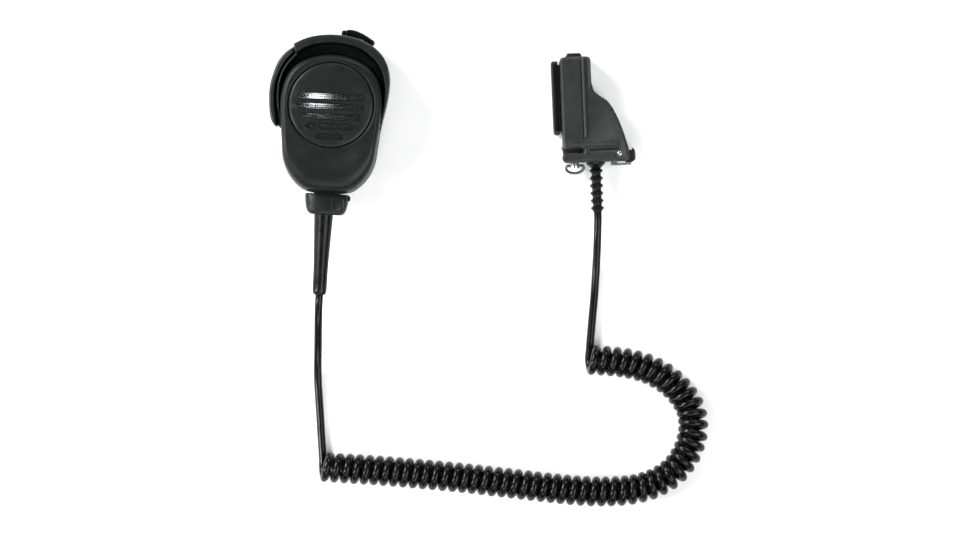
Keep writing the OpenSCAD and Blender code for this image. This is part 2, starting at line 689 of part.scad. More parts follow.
module guide_hook() {
    color([0.14, 0.15, 0.15]) lift(5, 7) polygon([[-14, 51], [-14, 54.9], [-13, 56.4], [-6.4, 56.4], [-5.5, 55.2], [-5.5, 51]]);
}
module lock_screw() {
    color([0.7, 0.7, 0.71]) difference() {
        union() {
            along_y([lock_x, -3.6, conn_mid]) rod(2.4, 2.6);
            along_y([lock_x, -1.1, conn_mid]) rod(1.5, 10.6);
        }
        along_x([lock_x - 4, -2.3, conn_mid]) rod(ring_wire + 0.06, 8);
    }
}
module lock_ring() {
    bend = [for (k = [1 : 11]) [ring_r * cos(15 * k), -0.7 - ring_drop * sin(15 * k), 0]];
    color([0.75, 0.75, 0.76]) translate([lock_x, -2.3, conn_mid])
        loop(concat([[2.8, 0, 0], [3.5, 0, 0], [ring_r - 0.2, -0.4, 0]], bend, [[0.2 - ring_r, -0.4, 0],
            [-3.5, 0, 0], [-2.8, 0, 0]]), ring_wire, 12);
}
module lock_clamp() {
    color([0.6, 0.6, 0.62]) difference() {
        box([conn_left - 1, 6, 5.2], [-7.4, 8, 11.8]);
        along_y([lock_x, 0, conn_mid]) rod(1.56, 12);
    }
}
module release_tab() {
    color([0.07, 0.08, 0.08]) difference() {
        union() {
            lift(4, 9) polygon([[15, 4.8], [17.6, 4.9], [19.5, 3.6], [19.6, 0.4], [17.9, -1.6], [15, -1.6]]);
            box([15, -1.6, 2.9], [15.8, 4.8, 14.1]);
        }
        along_x([14, 1.8, conn_mid]) rod(1.6, 2.6);
    }
}
module release_strap() {
    color([0.75, 0.75, 0.76]) lift(5, 7)
        polygon([[7, conn_low], [7, -2.9], [18, -2.9], [18, -1.9], [11, -1.9], [11, conn_low]]);
}
module release_spring() {
    color([0.7, 0.7, 0.72]) along_x([8.1, 1.8, conn_mid]) coil_spring(1.2, 0.25, 8, 8.4);
}

rear_casing();
front_casing();
casing_seal();
casing_screws();
grille_disc();
grille_mesh();
speaker_frame();
speaker_cone();
speaker_magnet();
voice_coil();
speaker_gasket();
speaker_screws();
mic_capsule();
mic_holder();
circuit_board();
board_parts();
board_screws();
wire_plug();
wire_set();
talk_button();
talk_pin();
switch_body();
switch_plunger();
earphone_jack();
jack_nut();
jack_cover();
jack_cover_pin();
clip_insert();
clip_screw();
clip_washer();
clip_base();
clip_plate();
clip_pin();
clip_spring();
cord_collar();
cord_boot();
cord_clamp();
cord_tail();
cord_mic_lead();
cord_coil();
cord_radio_lead();
at_connector() connector_front();
at_connector() connector_back();
at_connector() connector_screws();
at_connector() connector_flange();
at_connector() contact_block();
at_connector() contact_pins();
at_connector() contact_seal();
at_connector() contact_board();
at_connector() connector_wires();
at_connector() connector_clamp();
at_connector() connector_boot();
at_connector() connector_tail();
at_connector() guide_hook();
at_connector() lock_screw();
at_connector() lock_ring();
at_connector() lock_clamp();
at_connector() release_tab();
at_connector() release_strap();
at_connector() release_spring();
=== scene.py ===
"""Hand microphone with a curly cord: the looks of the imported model, in the model's own frame.

Shapes are in millimetres, and add_mesh and carve turn them into metres. Lights are in metres.
"""
import json
import math
import random

import bmesh
import bpy
from mathutils import Matrix, Vector


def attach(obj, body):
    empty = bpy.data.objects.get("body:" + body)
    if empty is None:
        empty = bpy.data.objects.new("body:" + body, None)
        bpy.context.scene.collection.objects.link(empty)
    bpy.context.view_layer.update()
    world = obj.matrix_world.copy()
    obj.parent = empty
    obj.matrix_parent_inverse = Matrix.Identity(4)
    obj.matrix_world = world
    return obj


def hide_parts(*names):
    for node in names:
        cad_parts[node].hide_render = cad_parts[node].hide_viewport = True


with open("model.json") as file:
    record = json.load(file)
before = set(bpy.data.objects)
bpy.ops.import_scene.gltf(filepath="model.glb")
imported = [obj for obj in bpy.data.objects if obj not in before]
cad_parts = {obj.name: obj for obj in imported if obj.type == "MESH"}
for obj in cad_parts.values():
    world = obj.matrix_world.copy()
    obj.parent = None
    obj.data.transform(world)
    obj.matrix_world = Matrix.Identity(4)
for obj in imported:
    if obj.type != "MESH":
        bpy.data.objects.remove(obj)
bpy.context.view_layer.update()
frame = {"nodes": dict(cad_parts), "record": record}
NODES = frame["nodes"]
MM = 0.001

# ---------------------------------------------------------------- camera and light
CAMERA_AIM = (86.3, -83.3)
CAMERA_ROLL = 3.1
LENS = 180.0
SENSOR = 36.0
VIEW_WIDTH = 508.6
VIEW_PLANE_Z = 18.0
WORLD_TINT = (0.97, 0.985, 1.0, 1)
WORLD_STRENGTH = 0.14

camera_data = bpy.data.cameras.new("camera")
camera_data.lens = LENS
camera_data.sensor_width = SENSOR
camera_data.clip_end = 20.0
camera = bpy.data.objects.new("camera", camera_data)
camera.location = (CAMERA_AIM[0] * MM, CAMERA_AIM[1] * MM,
                   (LENS / SENSOR * VIEW_WIDTH + VIEW_PLANE_Z) * MM)
camera.rotation_euler = (0, 0, math.radians(CAMERA_ROLL))
bpy.context.scene.collection.objects.link(camera)
bpy.context.scene.camera = camera
bpy.context.scene.view_settings.view_transform = "Standard"
bpy.context.scene.view_settings.look = "None"

world = bpy.data.worlds.new("studio")
bpy.context.scene.world = world
world.use_nodes = True
world.node_tree.nodes["Background"].inputs["Color"].default_value = WORLD_TINT
world.node_tree.nodes["Background"].inputs["Strength"].default_value = WORLD_STRENGTH


def area_light(name, place, aim, size, power):
    """A rectangular light, in metres and watts."""
    data = bpy.data.lights.new(name, "AREA")
    data.shape = "RECTANGLE"
    data.size, data.size_y = size
    data.energy = power
    lamp = bpy.data.objects.new(name, data)
    lamp.location = place
    lamp.rotation_euler = (Vector(aim) - Vector(place)).to_track_quat("-Z", "Y").to_euler()
    bpy.context.scene.collection.objects.link(lamp)


area_light("key", (-1.35, 0.75, 1.15), (0.06, -0.06, 0), (0.9, 0.6), 62.0)
area_light("fill", (1.25, -0.75, 1.7), (0.1, -0.08, 0), (1.6, 1.5), 44.0)
area_light("left", (-1.35, -0.45, 0.95), (0.06, -0.08, 0), (0.25, 1.3), 30.0)
area_light("back", (0.5, 1.5, 1.0), (0.08, -0.05, 0), (1.3, 0.3), 16.0)
area_light("front", (0.0, -1.5, 1.2), (0.08, -0.1, 0), (1.4, 0.4), 14.0)
area_light("card", (-0.117, 0.097, 2.5), (-0.117, 0.097, 0), (0.03, 0.022), 0.11)


# ---------------------------------------------------------------- materials
def material(name, colour, rough, metal=0.0, grain=None, vary=0.12, drift=0.07, coat=0.0, specular=0.5,
             wear=0.0):
    """A procedural finish.

    grain is (cells per metre, height in metres), vary is how far the colour drifts, drift is how far the
    roughness drifts, and wear is how much paler the edges are.
    """
    m = bpy.data.materials.new(name)
    m.use_nodes = True
    tree = m.node_tree
    shader = tree.nodes["Principled BSDF"]
    shader.inputs["Metallic"].default_value = metal
    shader.inputs["Specular IOR Level"].default_value = specular
    shader.inputs["Coat Weight"].default_value = coat
    shader.inputs["Coat Roughness"].default_value = 0.25
    place = tree.nodes.new("ShaderNodeTexCoord")

    def noise(scale, detail=4.0, roughness=0.55):
        n = tree.nodes.new("ShaderNodeTexNoise")
        n.inputs["Scale"].default_value = scale
        n.inputs["Detail"].default_value = detail
        n.inputs["Roughness"].default_value = roughness
        tree.links.new(place.outputs["Object"], n.inputs["Vector"])
        return n.outputs["Fac"]

    def ramp(source, low, high, start=0.3, end=0.7):
        r = tree.nodes.new("ShaderNodeMapRange")
        r.inputs["From Min"].default_value = start
        r.inputs["From Max"].default_value = end
        r.inputs["To Min"].default_value = low
        r.inputs["To Max"].default_value = high
        tree.links.new(source, r.inputs["Value"])
        return r.outputs["Result"]

    def mixed(factor, a, b):
        x = tree.nodes.new("ShaderNodeMix")
        x.data_type = "RGBA"
        tree.links.new(factor, x.inputs[0])
        for socket, value in ((x.inputs[6], a), (x.inputs[7], b)):
            if isinstance(value, tuple):
                socket.default_value = (*value, 1)
            else:
                tree.links.new(value, socket)
        return x.outputs[2]

    dark = tuple(c * (1 - vary) for c in colour)
    pale = tuple(min(1, c * (1 + vary) + 0.002) for c in colour)
    tint = mixed(ramp(noise(70, 5), 0, 1), dark, pale)
    tint = mixed(ramp(noise(900, 3), 0, 0.35), tint, pale)
    if wear:
        edge = tree.nodes.new("ShaderNodeNewGeometry")
        worn = ramp(edge.outputs["Pointiness"], 0, wear, 0.53, 0.6)
        tint = mixed(worn, tint, tuple(min(1, c * 1.9 + 0.02) for c in colour))
    tree.links.new(tint, shader.inputs["Base Color"])
    tree.links.new(ramp(noise(160, 4), max(0.02, rough - drift), min(1, rough + drift)),
                   shader.inputs["Roughness"])
    if grain:
        cells = tree.nodes.new("ShaderNodeTexVoronoi")
        cells.inputs["Scale"].default_value = grain[0]
        tree.links.new(place.outputs["Object"], cells.inputs["Vector"])
        bump = tree.nodes.new("ShaderNodeBump")
        bump.inputs["Strength"].default_value = 0.6
        bump.inputs["Distance"].default_value = grain[1]
        tree.links.new(cells.outputs["Distance"], bump.inputs["Height"])
        fine = tree.nodes.new("ShaderNodeBump")
        fine.inputs["Strength"].default_value = 0.4
        fine.inputs["Distance"].default_value = grain[1] * 0.6
        tree.links.new(noise(grain[0] * 2.2, 3), fine.inputs["Height"])
        tree.links.new(bump.outputs["Normal"], fine.inputs["Normal"])
        tree.links.new(fine.outputs["Normal"], shader.inputs["Normal"])
    return m


FINISHES = {
    "casing_back": dict(colour=(0.0038, 0.0047, 0.0043), rough=0.4, grain=(1500, 0.00007), wear=0.45,
                        specular=0.19),
    "casing_front": dict(colour=(0.0036, 0.0047, 0.0042), rough=0.39, grain=(1500, 0.00007), wear=0.4,
                         specular=0.16),
    "grille": dict(colour=(0.0042, 0.0055, 0.0049), rough=0.36, grain=(1900, 0.00005), wear=0.45,
                   specular=0.2),
    "mesh": dict(colour=(0.022, 0.023, 0.023), rough=0.35, metal=1.0, grain=(2500, 0.00003)),
    "dark_rubber": dict(colour=(0.0011, 0.0013, 0.0012), rough=0.27, grain=(1200, 0.00002), specular=0.16),
    "cord_jacket": dict(colour=(0.0009, 0.001, 0.0009), rough=0.22, grain=(900, 0.00002), specular=0.16),
    "button": dict(colour=(0.0048, 0.006, 0.0055), rough=0.34, grain=(1700, 0.00005), wear=0.5,
                   specular=0.3),
    "steel": dict(colour=(0.16, 0.16, 0.165), rough=0.4, metal=1.0, grain=(1400, 0.00002)),
    "spring_steel": dict(colour=(0.11, 0.11, 0.115), rough=0.36, metal=1.0, grain=(900, 0.00001)),
    "nickel": dict(colour=(0.4, 0.4, 0.39), rough=0.3, metal=1.0, grain=(700, 0.00001)),
    "brass": dict(colour=(0.72, 0.52, 0.24), rough=0.3, metal=1.0, grain=(900, 0.00001)),
    "gold": dict(colour=(0.83, 0.62, 0.26), rough=0.2, metal=1.0, grain=(900, 0.00001)),
    "board": dict(colour=(0.02, 0.12, 0.055), rough=0.3, grain=(700, 0.00002), coat=0.4),
    "component": dict(colour=(0.03, 0.03, 0.032), rough=0.42, grain=(1600, 0.00003)),
    "plug_white": dict(colour=(0.72, 0.69, 0.6), rough=0.42, grain=(1100, 0.00002)),
    "wire_cover": dict(colour=(0.4, 0.035, 0.03), rough=0.38, grain=(900, 0.00001)),
    "paper": dict(colour=(0.045, 0.045, 0.047), rough=0.85, grain=(1300, 0.00008), vary=0.25),
    "copper": dict(colour=(0.65, 0.3, 0.14), rough=0.28, metal=1.0, grain=(1500, 0.00003)),
    "magnet": dict(colour=(0.3, 0.3, 0.31), rough=0.4, metal=1.0, grain=(900, 0.00003)),
    "capsule_can": dict(colour=(0.7, 0.7, 0.71), rough=0.28, metal=1.0, grain=(900, 0.00001)),
    "connector_case": dict(colour=(0.0095, 0.0117, 0.0103), rough=0.42, grain=(1500, 0.0001), wear=0.75,
                           vary=0.35, specular=0.22),
    "connector_frame": dict(colour=(0.0062, 0.0077, 0.0068), rough=0.42, grain=(1500, 0.00007), wear=0.5,
                            specular=0.2),
    "jack_case": dict(colour=(0.03, 0.03, 0.033), rough=0.4, grain=(1500, 0.00003)),
}
MATERIALS = {name: material(name, **finish) for name, finish in FINISHES.items()}
NODE_SLOT = {s["node"]: s["material_slot"] for s in frame["record"]["subparts"]}


# edges sharper than these angles stay sharp: on shapes with corners, on round wire, and on the weave
SHARP, ROUND, WOVEN = 34, 60, 80


def dress(obj, slot):
    """Gives an object the finish of a material slot, and nothing else."""
    obj.data.materials.clear()
    obj.data.materials.append(MATERIALS[slot])


def soften(obj, width, segments):
    """Rounds an object's sharp edges; width is in millimetres."""
    w = obj.modifiers.new("weld", "WELD")
    w.merge_threshold = 0.00001
    b = obj.modifiers.new("edges", "BEVEL")
    b.width = width * MM
    b.segments = segments
    b.limit_method = "ANGLE"
    b.angle_limit = math.radians(32)
    b.harden_normals = False
    b.use_clamp_overlap = True


def shade(obj, angle):
    """Smooth shading, with edges sharper than the angle kept sharp."""
    for p in obj.data.polygons:
        p.use_smooth = True
    obj.data.update()
    with bpy.context.temp_override(object=obj, active_object=obj, selected_objects=[obj],
                                   selected_editable_objects=[obj]):
        bpy.ops.object.shade_smooth_by_angle(angle=math.radians(angle))


def add_mesh(name, points, faces, body, slot, smooth=SHARP):
    """A new piece from points in millimetres, riding on a body."""
    data = bpy.data.meshes.new(name)
    data.from_pydata([Vector(p) * MM for p in points], [], faces)
    bm = bmesh.new()
    bm.from_mesh(data)
    bmesh.ops.remove_doubles(bm, verts=bm.verts, dist=1e-7)
    bmesh.ops.recalc_face_normals(bm, faces=bm.faces)
    bm.to_mesh(data)
    bm.free()
    data.validate()
    obj = bpy.data.objects.new(name, data)
    bpy.context.scene.collection.objects.link(obj)
    dress(obj, slot)
    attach(obj, body)
    shade(obj, smooth)
    return obj


# ---------------------------------------------------------------- the cord
CORD_D = 4.2
CURL_R = 5.9
CURL_TURNS = 55
TURN_POINTS = 20
CORD_REST = CORD_D / 2
CORD_SIDES = 14
LEAD_STEP = 1.6
# how far a turn may lean, how fast the lean follows, the points over which it fades at the ends, the seed
LEAN, LEAN_FOLLOW, LEAN_FADE, LEAN_SEED = 0.3, 0.08, 30, 7
COIL_AXIS = [(4.9, -188.0), (14.4, -188.2), (35, -188.4), (56, -189.0), (77, -189.8), (98, -191.0),
             (119, -192.3), (140, -193.2), (155, -192.7), (168, -190.9), (179, -186.9), (188, -180.4),
             (194.1, -171.2), (196.8, -161.7), (196.9, -154.5), (194.9, -146.7), (189.8, -139.4),
             (182.2, -132.8), (172.5, -128), (162, -125.6), (151.5, -124.8), (140.9, -124.8)]
MIC_LEAD = [(-1.2, -98.5, 20), (-1.2, -101, 20), (-1.2, -105, 19), (-1.1, -112, 16.2), (-0.9, -120, 11.6),
            (-0.7, -128, 7.3), (-0.5, -136, 4.1), (0, -144, 2.5), (0.9, -152, 2.1), (2, -161, 2.1),
            (3, -170, 2.1), (4.0, -178, 2.1), (4.7, -184, 2.1)]
RADIO_LEAD = [(141, -120, 2.1), (141.2, -112, 2.1), (141.6, -100, 2.1), (141.9, -92, 2.1), (142, -84, 2.3),
              (142.05, -76, 3.3), (142, -68, 5.4), (141.8, -60, 7.6), (141.48, -50.7, 8.5),
              (141.15, -47.15, 8.5)]


def catmull(points, n, closed=True):
    """A smooth curve through points, with n steps from each to the next."""
    pts = [Vector(p) for p in points]
    m, out = len(pts), []
    for i in range(m if closed else m - 1):
        if closed:
            a, b, c, d = pts[i - 1], pts[i], pts[(i + 1) % m], pts[(i + 2) % m]
        else:
            a, b, c, d = pts[max(i - 1, 0)], pts[i], pts[i + 1], pts[min(i + 2, m - 1)]
        for k in range(n):
            t = k / n
            out.append(0.5 * (2 * b + (c - a) * t + (2 * a - 5 * b + 4 * c - d) * t * t
                              + (3 * b - a - 3 * c + d) * t ** 3))
    if not closed:
        out.append(pts[-1])
    return out


def resample(points, count):
    """The same line in count equal steps."""
    lengths = [0.0]
    for a, b in zip(points, points[1:]):
        lengths.append(lengths[-1] + (b - a).length)
    out, j = [], 0
    for k in range(count + 1):
        s = lengths[-1] * k / count
        while j < len(points) - 2 and lengths[j + 1] < s:
            j += 1
        span = lengths[j + 1] - lengths[j]
        out.append(points[j].lerp(points[j + 1], 0 if span == 0 else (s - lengths[j]) / span))
    return out


def smooth_path(points, step):
    """A smooth curve through points, in steps of about step millimetres."""
    fine = catmull(points, 24, False)
    length = 0.0
    for a, b in zip(fine, fine[1:]):
        length += (b - a).length
    return resample(fine, max(2, round(length / step)))


def curl():
    """The centreline of the curl, whose turns lean a little to and fro along the axis."""
    axis = smooth_path([(x, y, CORD_REST + CURL_R) for x, y in COIL_AXIS], 0.5)
    count = CURL_TURNS * TURN_POINTS
    out = []
    drift = random.Random(LEAN_SEED)
    lean = 0.0
    for k in range(count + 1):
        f = k / count * (len(axis) - 1)
        i = min(int(f), len(axis) - 2)
        centre = axis[i].lerp(axis[i + 1], f - i)
        ahead = (axis[min(i + 2, len(axis) - 1)] - axis[max(i - 1, 0)]).normalized()
        side = Vector((0, 0, 1)).cross(ahead).normalized()
        if k % TURN_POINTS == 0:
            target = drift.uniform(-LEAN, LEAN)
        lean += (target - lean) * LEAN_FOLLOW
        ends = min(1.0, k / LEAN_FADE, (count - k) / LEAN_FADE)
        turn = -math.pi / 2 - 2 * math.pi * CURL_TURNS * k / count
        out.append(centre + CURL_R * (math.cos(turn) * side + math.sin(turn) * Vector((0, 0, 1)))
                   + ahead * lean * ends * (1 + math.sin(turn)) * 0.5)
    return out


lead_in = smooth_path(MIC_LEAD, LEAD_STEP)
lead_out = smooth_path(RADIO_LEAD, LEAD_STEP)
wound = curl()


def join(a, b):
    """A short smooth bridge from the end of a to the start of b."""
    p0, p1 = a[-1], b[0]
    m0, m1 = (a[-1] - a[-2]).normalized(), (b[1] - b[0]).normalized()
    gap = (p1 - p0).length
    return [p0 * (2 * t ** 3 - 3 * t * t + 1) + m0 * gap * (t ** 3 - 2 * t * t + t)
            + p1 * (-2 * t ** 3 + 3 * t * t) + m1 * gap * (t ** 3 - t * t)
            for t in [i / 5 for i in range(1, 5)]]


CORD_PATH = lead_in + join(lead_in, wound) + wound + join(wound, lead_out) + lead_out


def tube(path, radius, sides, close_ends=True):
    """Points and faces of a round tube along a path, with a frame that doesn't twist."""
    points, faces = [], []
    ahead = (path[1] - path[0]).normalized()
    u = ahead.orthogonal().normalized()
    for i, p in enumerate(path):
        way = (path[min(i + 1, len(path) - 1)] - path[max(i - 1, 0)]).normalized()
        u = (u - way * u.dot(way)).normalized()
        v = way.cross(u)
        for k in range(sides):
            a = 2 * math.pi * k / sides
            points.append(p + radius * (math.cos(a) * u + math.sin(a) * v))
    for i in range(len(path) - 1):
        for k in range(sides):
            a, b = i * sides + k, i * sides + (k + 1) % sides
            faces.append((a, b, b + sides, a + sides))
    if close_ends:
        faces.append(tuple(range(sides - 1, -1, -1)))
        faces.append(tuple((len(path) - 1) * sides + k for k in range(sides)))
    return points, faces


cord_points, cord_faces = tube(CORD_PATH, CORD_D / 2, CORD_SIDES)
cord = add_mesh("curly_cord", cord_points, cord_faces, "microphone", "cord_jacket", ROUND)
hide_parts("cord_mic_lead", "cord_coil", "cord_radio_lead")

# ---------------------------------------------------------------- outlines shared by the casing shells
def both_sides(half):
    """A closed smooth outline from the points of its right half."""
    return catmull(half + [(-x, y) for x, y in half[-2:0:-1]], 8)


HEAD = both_sides([(0, 36.6), (11, 35.3), (19.8, 31.6), (25.4, 26.6), (28.3, 21), (29.5, 14), (29, 5),
                   (27.4, -4), (25.9, -12), (25.1, -20), (24.2, -28), (21.6, -35), (17, -41), (11, -44.8),
                   (0, -45.6)])
FACE = both_sides([(0, 26.3), (11, 24.4), (19.5, 19.6), (24.4, 12), (26.3, 2), (25.7, -9), (24.6, -19),
                   (23.5, -28), (20.9, -34.6), (16.4, -40.4), (10.6, -44), (0, -44.8)])
RIM = both_sides([(0, 32.4), (12.5, 30.3), (20.5, 25), (25.2, 18.5), (27.3, 10), (27.2, 0), (26.6, -8),
                  (28, -18), (27, -30), (24, -40), (14, -48), (0, -49)])
POCKET = [Vector(p) for p in [(-34, -9), (-27.3, -5.5), (-27.9, -1), (-28.3, 3), (-28.1, 10), (-26.5, 16),
                              (-23.8, 21), (-19.6, 25.9), (-23, 34), (-36, 34)]]
SHELF = [Vector(p) for p in [(-24, -14.5), (-27.3, -12.2), (-29.7, -8.8), (-31, -4), (-31.6, 3), (-31.3, 9),
                             (-30, 15), (-28, 20.6), (-24.6, 25.4), (-21, 28.2), (-16, 24)]]
BACK_Z, PART_Z, GROOVE_Z, RIM_Z, FACE_Z = 10.0, 20.0, 24.0, 33.0, 36.0


def crossings(outline, way):
    """Distances from the origin at which a ray meets an outline."""
    found = []
    for p, q in zip(outline, outline[1:] + outline[:1]):
        e = q - p
        det = way.x * e.y - way.y * e.x
        if abs(det) < 1e-9:
            continue
        r = (p.x * e.y - p.y * e.x) / det
        s = (p.x * way.y - p.y * way.x) / det
        if r > 0 and -1e-9 <= s <= 1 + 1e-9:
            found.append(r)
    return found


def ease(t):
    """0 to 1 with a soft start and end."""
    t = min(1.0, max(0.0, t))
    return t * t * (3 - 2 * t)


def mix(a, b, t):
    """a at t = 0 and b at t = 1."""
    return a + (b - a) * t


RAY_COUNT = 220
# where the button's pocket begins and ends, with a ray just to each side of both
POCKET_ENDS = [(-27.3, -5.5), (-19.6, 25.9)]
angles = sorted([2 * math.pi * k / RAY_COUNT for k in range(RAY_COUNT)]
                + [math.atan2(x, y) % (2 * math.pi) + d for x, y in POCKET_ENDS for d in (-0.004, 0.004)])
RAYS = []  # for each direction from the speaker's axis, how far out each outline is
for a in angles:
    way = Vector((math.sin(a), math.cos(a)))
    head = max(crossings(HEAD, way))
    inside_pocket = crossings(POCKET, way)
    wall = min([head] + inside_pocket)
    rim = min([max(crossings(RIM, way)), wall - 0.9])
    y = head * way.y
    RAYS.append({"way": way, "head": head, "wall": wall, "in": rim, "face": max(crossings(FACE, way)),
                 "base": max([head] + crossings(SHELF, way)), "hood": ease((y + 13) / 11), "y": y,
                 "pocket": wall < head - 0.01})


def casing_ring(f):
    """A ring round the casing; f gives the radius and height on each ray."""
    out = []
    for ray in RAYS:
        r, z = f(ray)
        out.append((ray["way"].x * r, ray["way"].y * r, z))
    return out


def loft(rings, start=None, end=None):
    """Faces between rings of equal length.

    start and end are centre points, "flat" for one face, or None for an open end.
    """
    n = len(rings[0])
    points = [p for ring in rings for p in ring]
    faces = []
    for j in range(len(rings) - 1):
        for k in range(n):
            a, b = j * n + k, j * n + (k + 1) % n
            faces.append((a, b, b + n, a + n))
    last = (len(rings) - 1) * n
    if start == "flat":
        faces.append(tuple(range(n - 1, -1, -1)))
    elif start:
        points.append(start)
        faces += [(k, len(points) - 1, (k + 1) % n) for k in range(n)]
    if end == "flat":
        faces.append(tuple(last + k for k in range(n)))
    elif end:
        points.append(end)
        faces += [(last + k, last + (k + 1) % n, len(points) - 1) for k in range(n)]
    return points, faces


def together(*shapes):
    """Several shapes as one list of points and one list of faces."""
    points, faces = [], []
    for p, f in shapes:
        faces += [tuple(i + len(points) for i in face) for face in f]
        points += [tuple(q) for q in p]
    return points, faces


def prism(outline, low, high):
    """An outline made solid between two heights."""
    return loft([[(p[0], p[1], z) for p in outline] for z in (low, high)], "flat", "flat")


def bar(p, q, r, sides=24):
    """A straight round bar."""
    p, q = Vector(p), Vector(q)
    u = (q - p).normalized().orthogonal().normalized()
    v = (q - p).normalized().cross(u)
    turns = [2 * math.pi * k / sides for k in range(sides)]
    return loft([[c + r * (math.cos(a) * u + math.sin(a) * v) for a in turns] for c in (p, q)],
                "flat", "flat")


def lathe(profile, sides=64, place=lambda x, y, z: (x, y, z)):
    """Turns a profile of (radius, height) about Z; a radius of 0 closes it."""
    rings = [[place(r * math.cos(2 * math.pi * k / sides), r * math.sin(2 * math.pi * k / sides), z)
              for k in range(sides)] for r, z in profile if r > 0]
    start = place(0, 0, profile[0][1]) if profile[0][0] == 0 else None
    end = place(0, 0, profile[-1][1]) if profile[-1][0] == 0 else None
    return loft(rings, start, end)


def fillet(corners, n=6):
    """A closed outline with rounded corners, from (x, y, radius)."""
    out, m = [], len(corners)
    for i in range(m):
        p = Vector(corners[i][:2])
        a, b = Vector(corners[i - 1][:2]) - p, Vector(corners[(i + 1) % m][:2]) - p
        r = corners[i][2]
        half = a.angle(b) / 2
        if r <= 0 or half > 1.5:
            out.append(p)
            continue
        reach = min(r / math.tan(half), a.length * 0.49, b.length * 0.49)
        start, end = p + a.normalized() * reach, p + b.normalized() * reach
        for k in range(n + 1):
            t = k / n
            out.append((1 - t) ** 2 * start + 2 * t * (1 - t) * p + t * t * end)
    return out


def inset(outline, d):
    """An outline moved inward by d."""
    m = len(outline)
    area = sum(outline[i - 1].x * outline[i].y - outline[i].x * outline[i - 1].y for i in range(m))
    turn = 1 if area > 0 else -1
    out = []
    for i in range(m):
        t1 = (outline[i] - outline[i - 1]).normalized()
        t2 = (outline[(i + 1) % m] - outline[i]).normalized()
        n1, n2 = Vector((-t1.y, t1.x)) * turn, Vector((-t2.y, t2.x)) * turn
        n = (n1 + n2).normalized()
        out.append(outline[i] + n * (d / max(0.5, n.dot(n1))))
    return out


def slab(outline, levels):
    """A plate from an outline: levels are (inset, height)."""
    return loft([[(p.x, p.y, z) for p in inset(outline, d)] for d, z in levels], "flat", "flat")


def split_wide(data):
    """Splits faces of many corners, so that a boolean or the renderer doesn't have to."""
    bm = bmesh.new()
    bm.from_mesh(data)
    bmesh.ops.triangulate(bm, faces=[f for f in bm.faces if len(f.verts) > 4])
    bm.to_mesh(data)
    bm.free()


def carve(obj, *cutters):
    """Cuts shapes out of a piece."""
    split_wide(obj.data)
    points, faces = together(*cutters)
    data = bpy.data.meshes.new("cutter")
    data.from_pydata([Vector(p) * MM for p in points], [], faces)
    bm = bmesh.new()
    bm.from_mesh(data)
    bmesh.ops.recalc_face_normals(bm, faces=bm.faces)
    bm.to_mesh(data)
    bm.free()
    tool = bpy.data.objects.new("cutter", data)
    bpy.context.scene.collection.objects.link(tool)
    cut = obj.modifiers.new("cut", "BOOLEAN")
    cut.operation = "DIFFERENCE"
    cut.solver = "EXACT"
    cut.use_self = True
    cut.object = tool
    bpy.context.view_layer.update()
    shape = bpy.data.meshes.new_from_object(obj.evaluated_get(bpy.context.evaluated_depsgraph_get()))
    obj.modifiers.remove(cut)
    obj.data = shape
    split_wide(shape)
    bpy.data.objects.remove(tool)
    shade(obj, SHARP)
    even(obj)


def even(obj):
    """Lets the large faces set the shading, so that flat areas look flat."""
    w = obj.modifiers.new("normals", "WEIGHTED_NORMAL")
    w.mode = "FACE_AREA"
    w.keep_sharp = True
    w.weight = 60


# ---------------------------------------------------------------- rear casing with its hood
def outer_edge(ray):
    """Width of the rounding on the hood's outer edge."""
    return min(1.5, 0.42 * (ray["wall"] - ray["in"]))


def inner_edge(ray):
    """Width of the rounding on the hood's inner edge."""
    return min(1.1, 0.42 * (ray["wall"] - ray["in"]))


def top(ray):
    """Height of the rear casing's upper edge: the parting line, or the hood."""
    return mix(PART_Z - 0.05, RIM_Z, ray["hood"])


rear_rings = [
    casing_ring(lambda q: (q["base"] * 0.5, BACK_Z)),
    casing_ring(lambda q: (q["base"] - 6, BACK_Z)),
    casing_ring(lambda q: (q["base"] - 2.6, BACK_Z)),
    casing_ring(lambda q: (q["base"] - 1.5, BACK_Z + 0.25)),
    casing_ring(lambda q: (q["base"] - 0.6, BACK_Z + 0.85)),
    casing_ring(lambda q: (q["base"] - 0.12, BACK_Z + 1.6)),
    casing_ring(lambda q: (q["base"] - 0.05, BACK_Z + 2.3) if q["pocket"] else (q["wall"], BACK_Z + 2.2)),
    casing_ring(lambda q: (q["wall"], BACK_Z + 2.4 + (0 if q["pocket"] else 0.3))),
    casing_ring(lambda q: (q["wall"], PART_Z - 1.2)),
    casing_ring(lambda q: (q["wall"], mix(PART_Z - 0.6, RIM_Z - 6, q["hood"]))),
    casing_ring(lambda q: (q["wall"], top(q) - outer_edge(q))),
    casing_ring(lambda q: (q["wall"] - 0.12 * outer_edge(q), top(q) - 0.5 * outer_edge(q))),
    casing_ring(lambda q: (q["wall"] - 0.45 * outer_edge(q), top(q) - 0.14 * outer_edge(q))),
    casing_ring(lambda q: (q["wall"] - outer_edge(q), top(q))),
    casing_ring(lambda q: (q["in"] + inner_edge(q), top(q))),
    casing_ring(lambda q: (q["in"] + 0.4 * inner_edge(q), top(q) - 0.14 * inner_edge(q))),
    casing_ring(lambda q: (q["in"] + 0.1 * inner_edge(q), top(q) - 0.5 * inner_edge(q))),
    casing_ring(lambda q: (q["in"], top(q) - 1.2 * inner_edge(q))),
    casing_ring(lambda q: (q["in"], mix(PART_Z - 1.4, GROOVE_Z + 0.1, q["hood"]))),
    casing_ring(lambda q: (q["wall"] - 2.2, PART_Z - 1.8)),
    casing_ring(lambda q: (q["wall"] - 2.2, BACK_Z + 3.2)),
    casing_ring(lambda q: (q["wall"] - 3.2, BACK_Z + 2.4)),
]
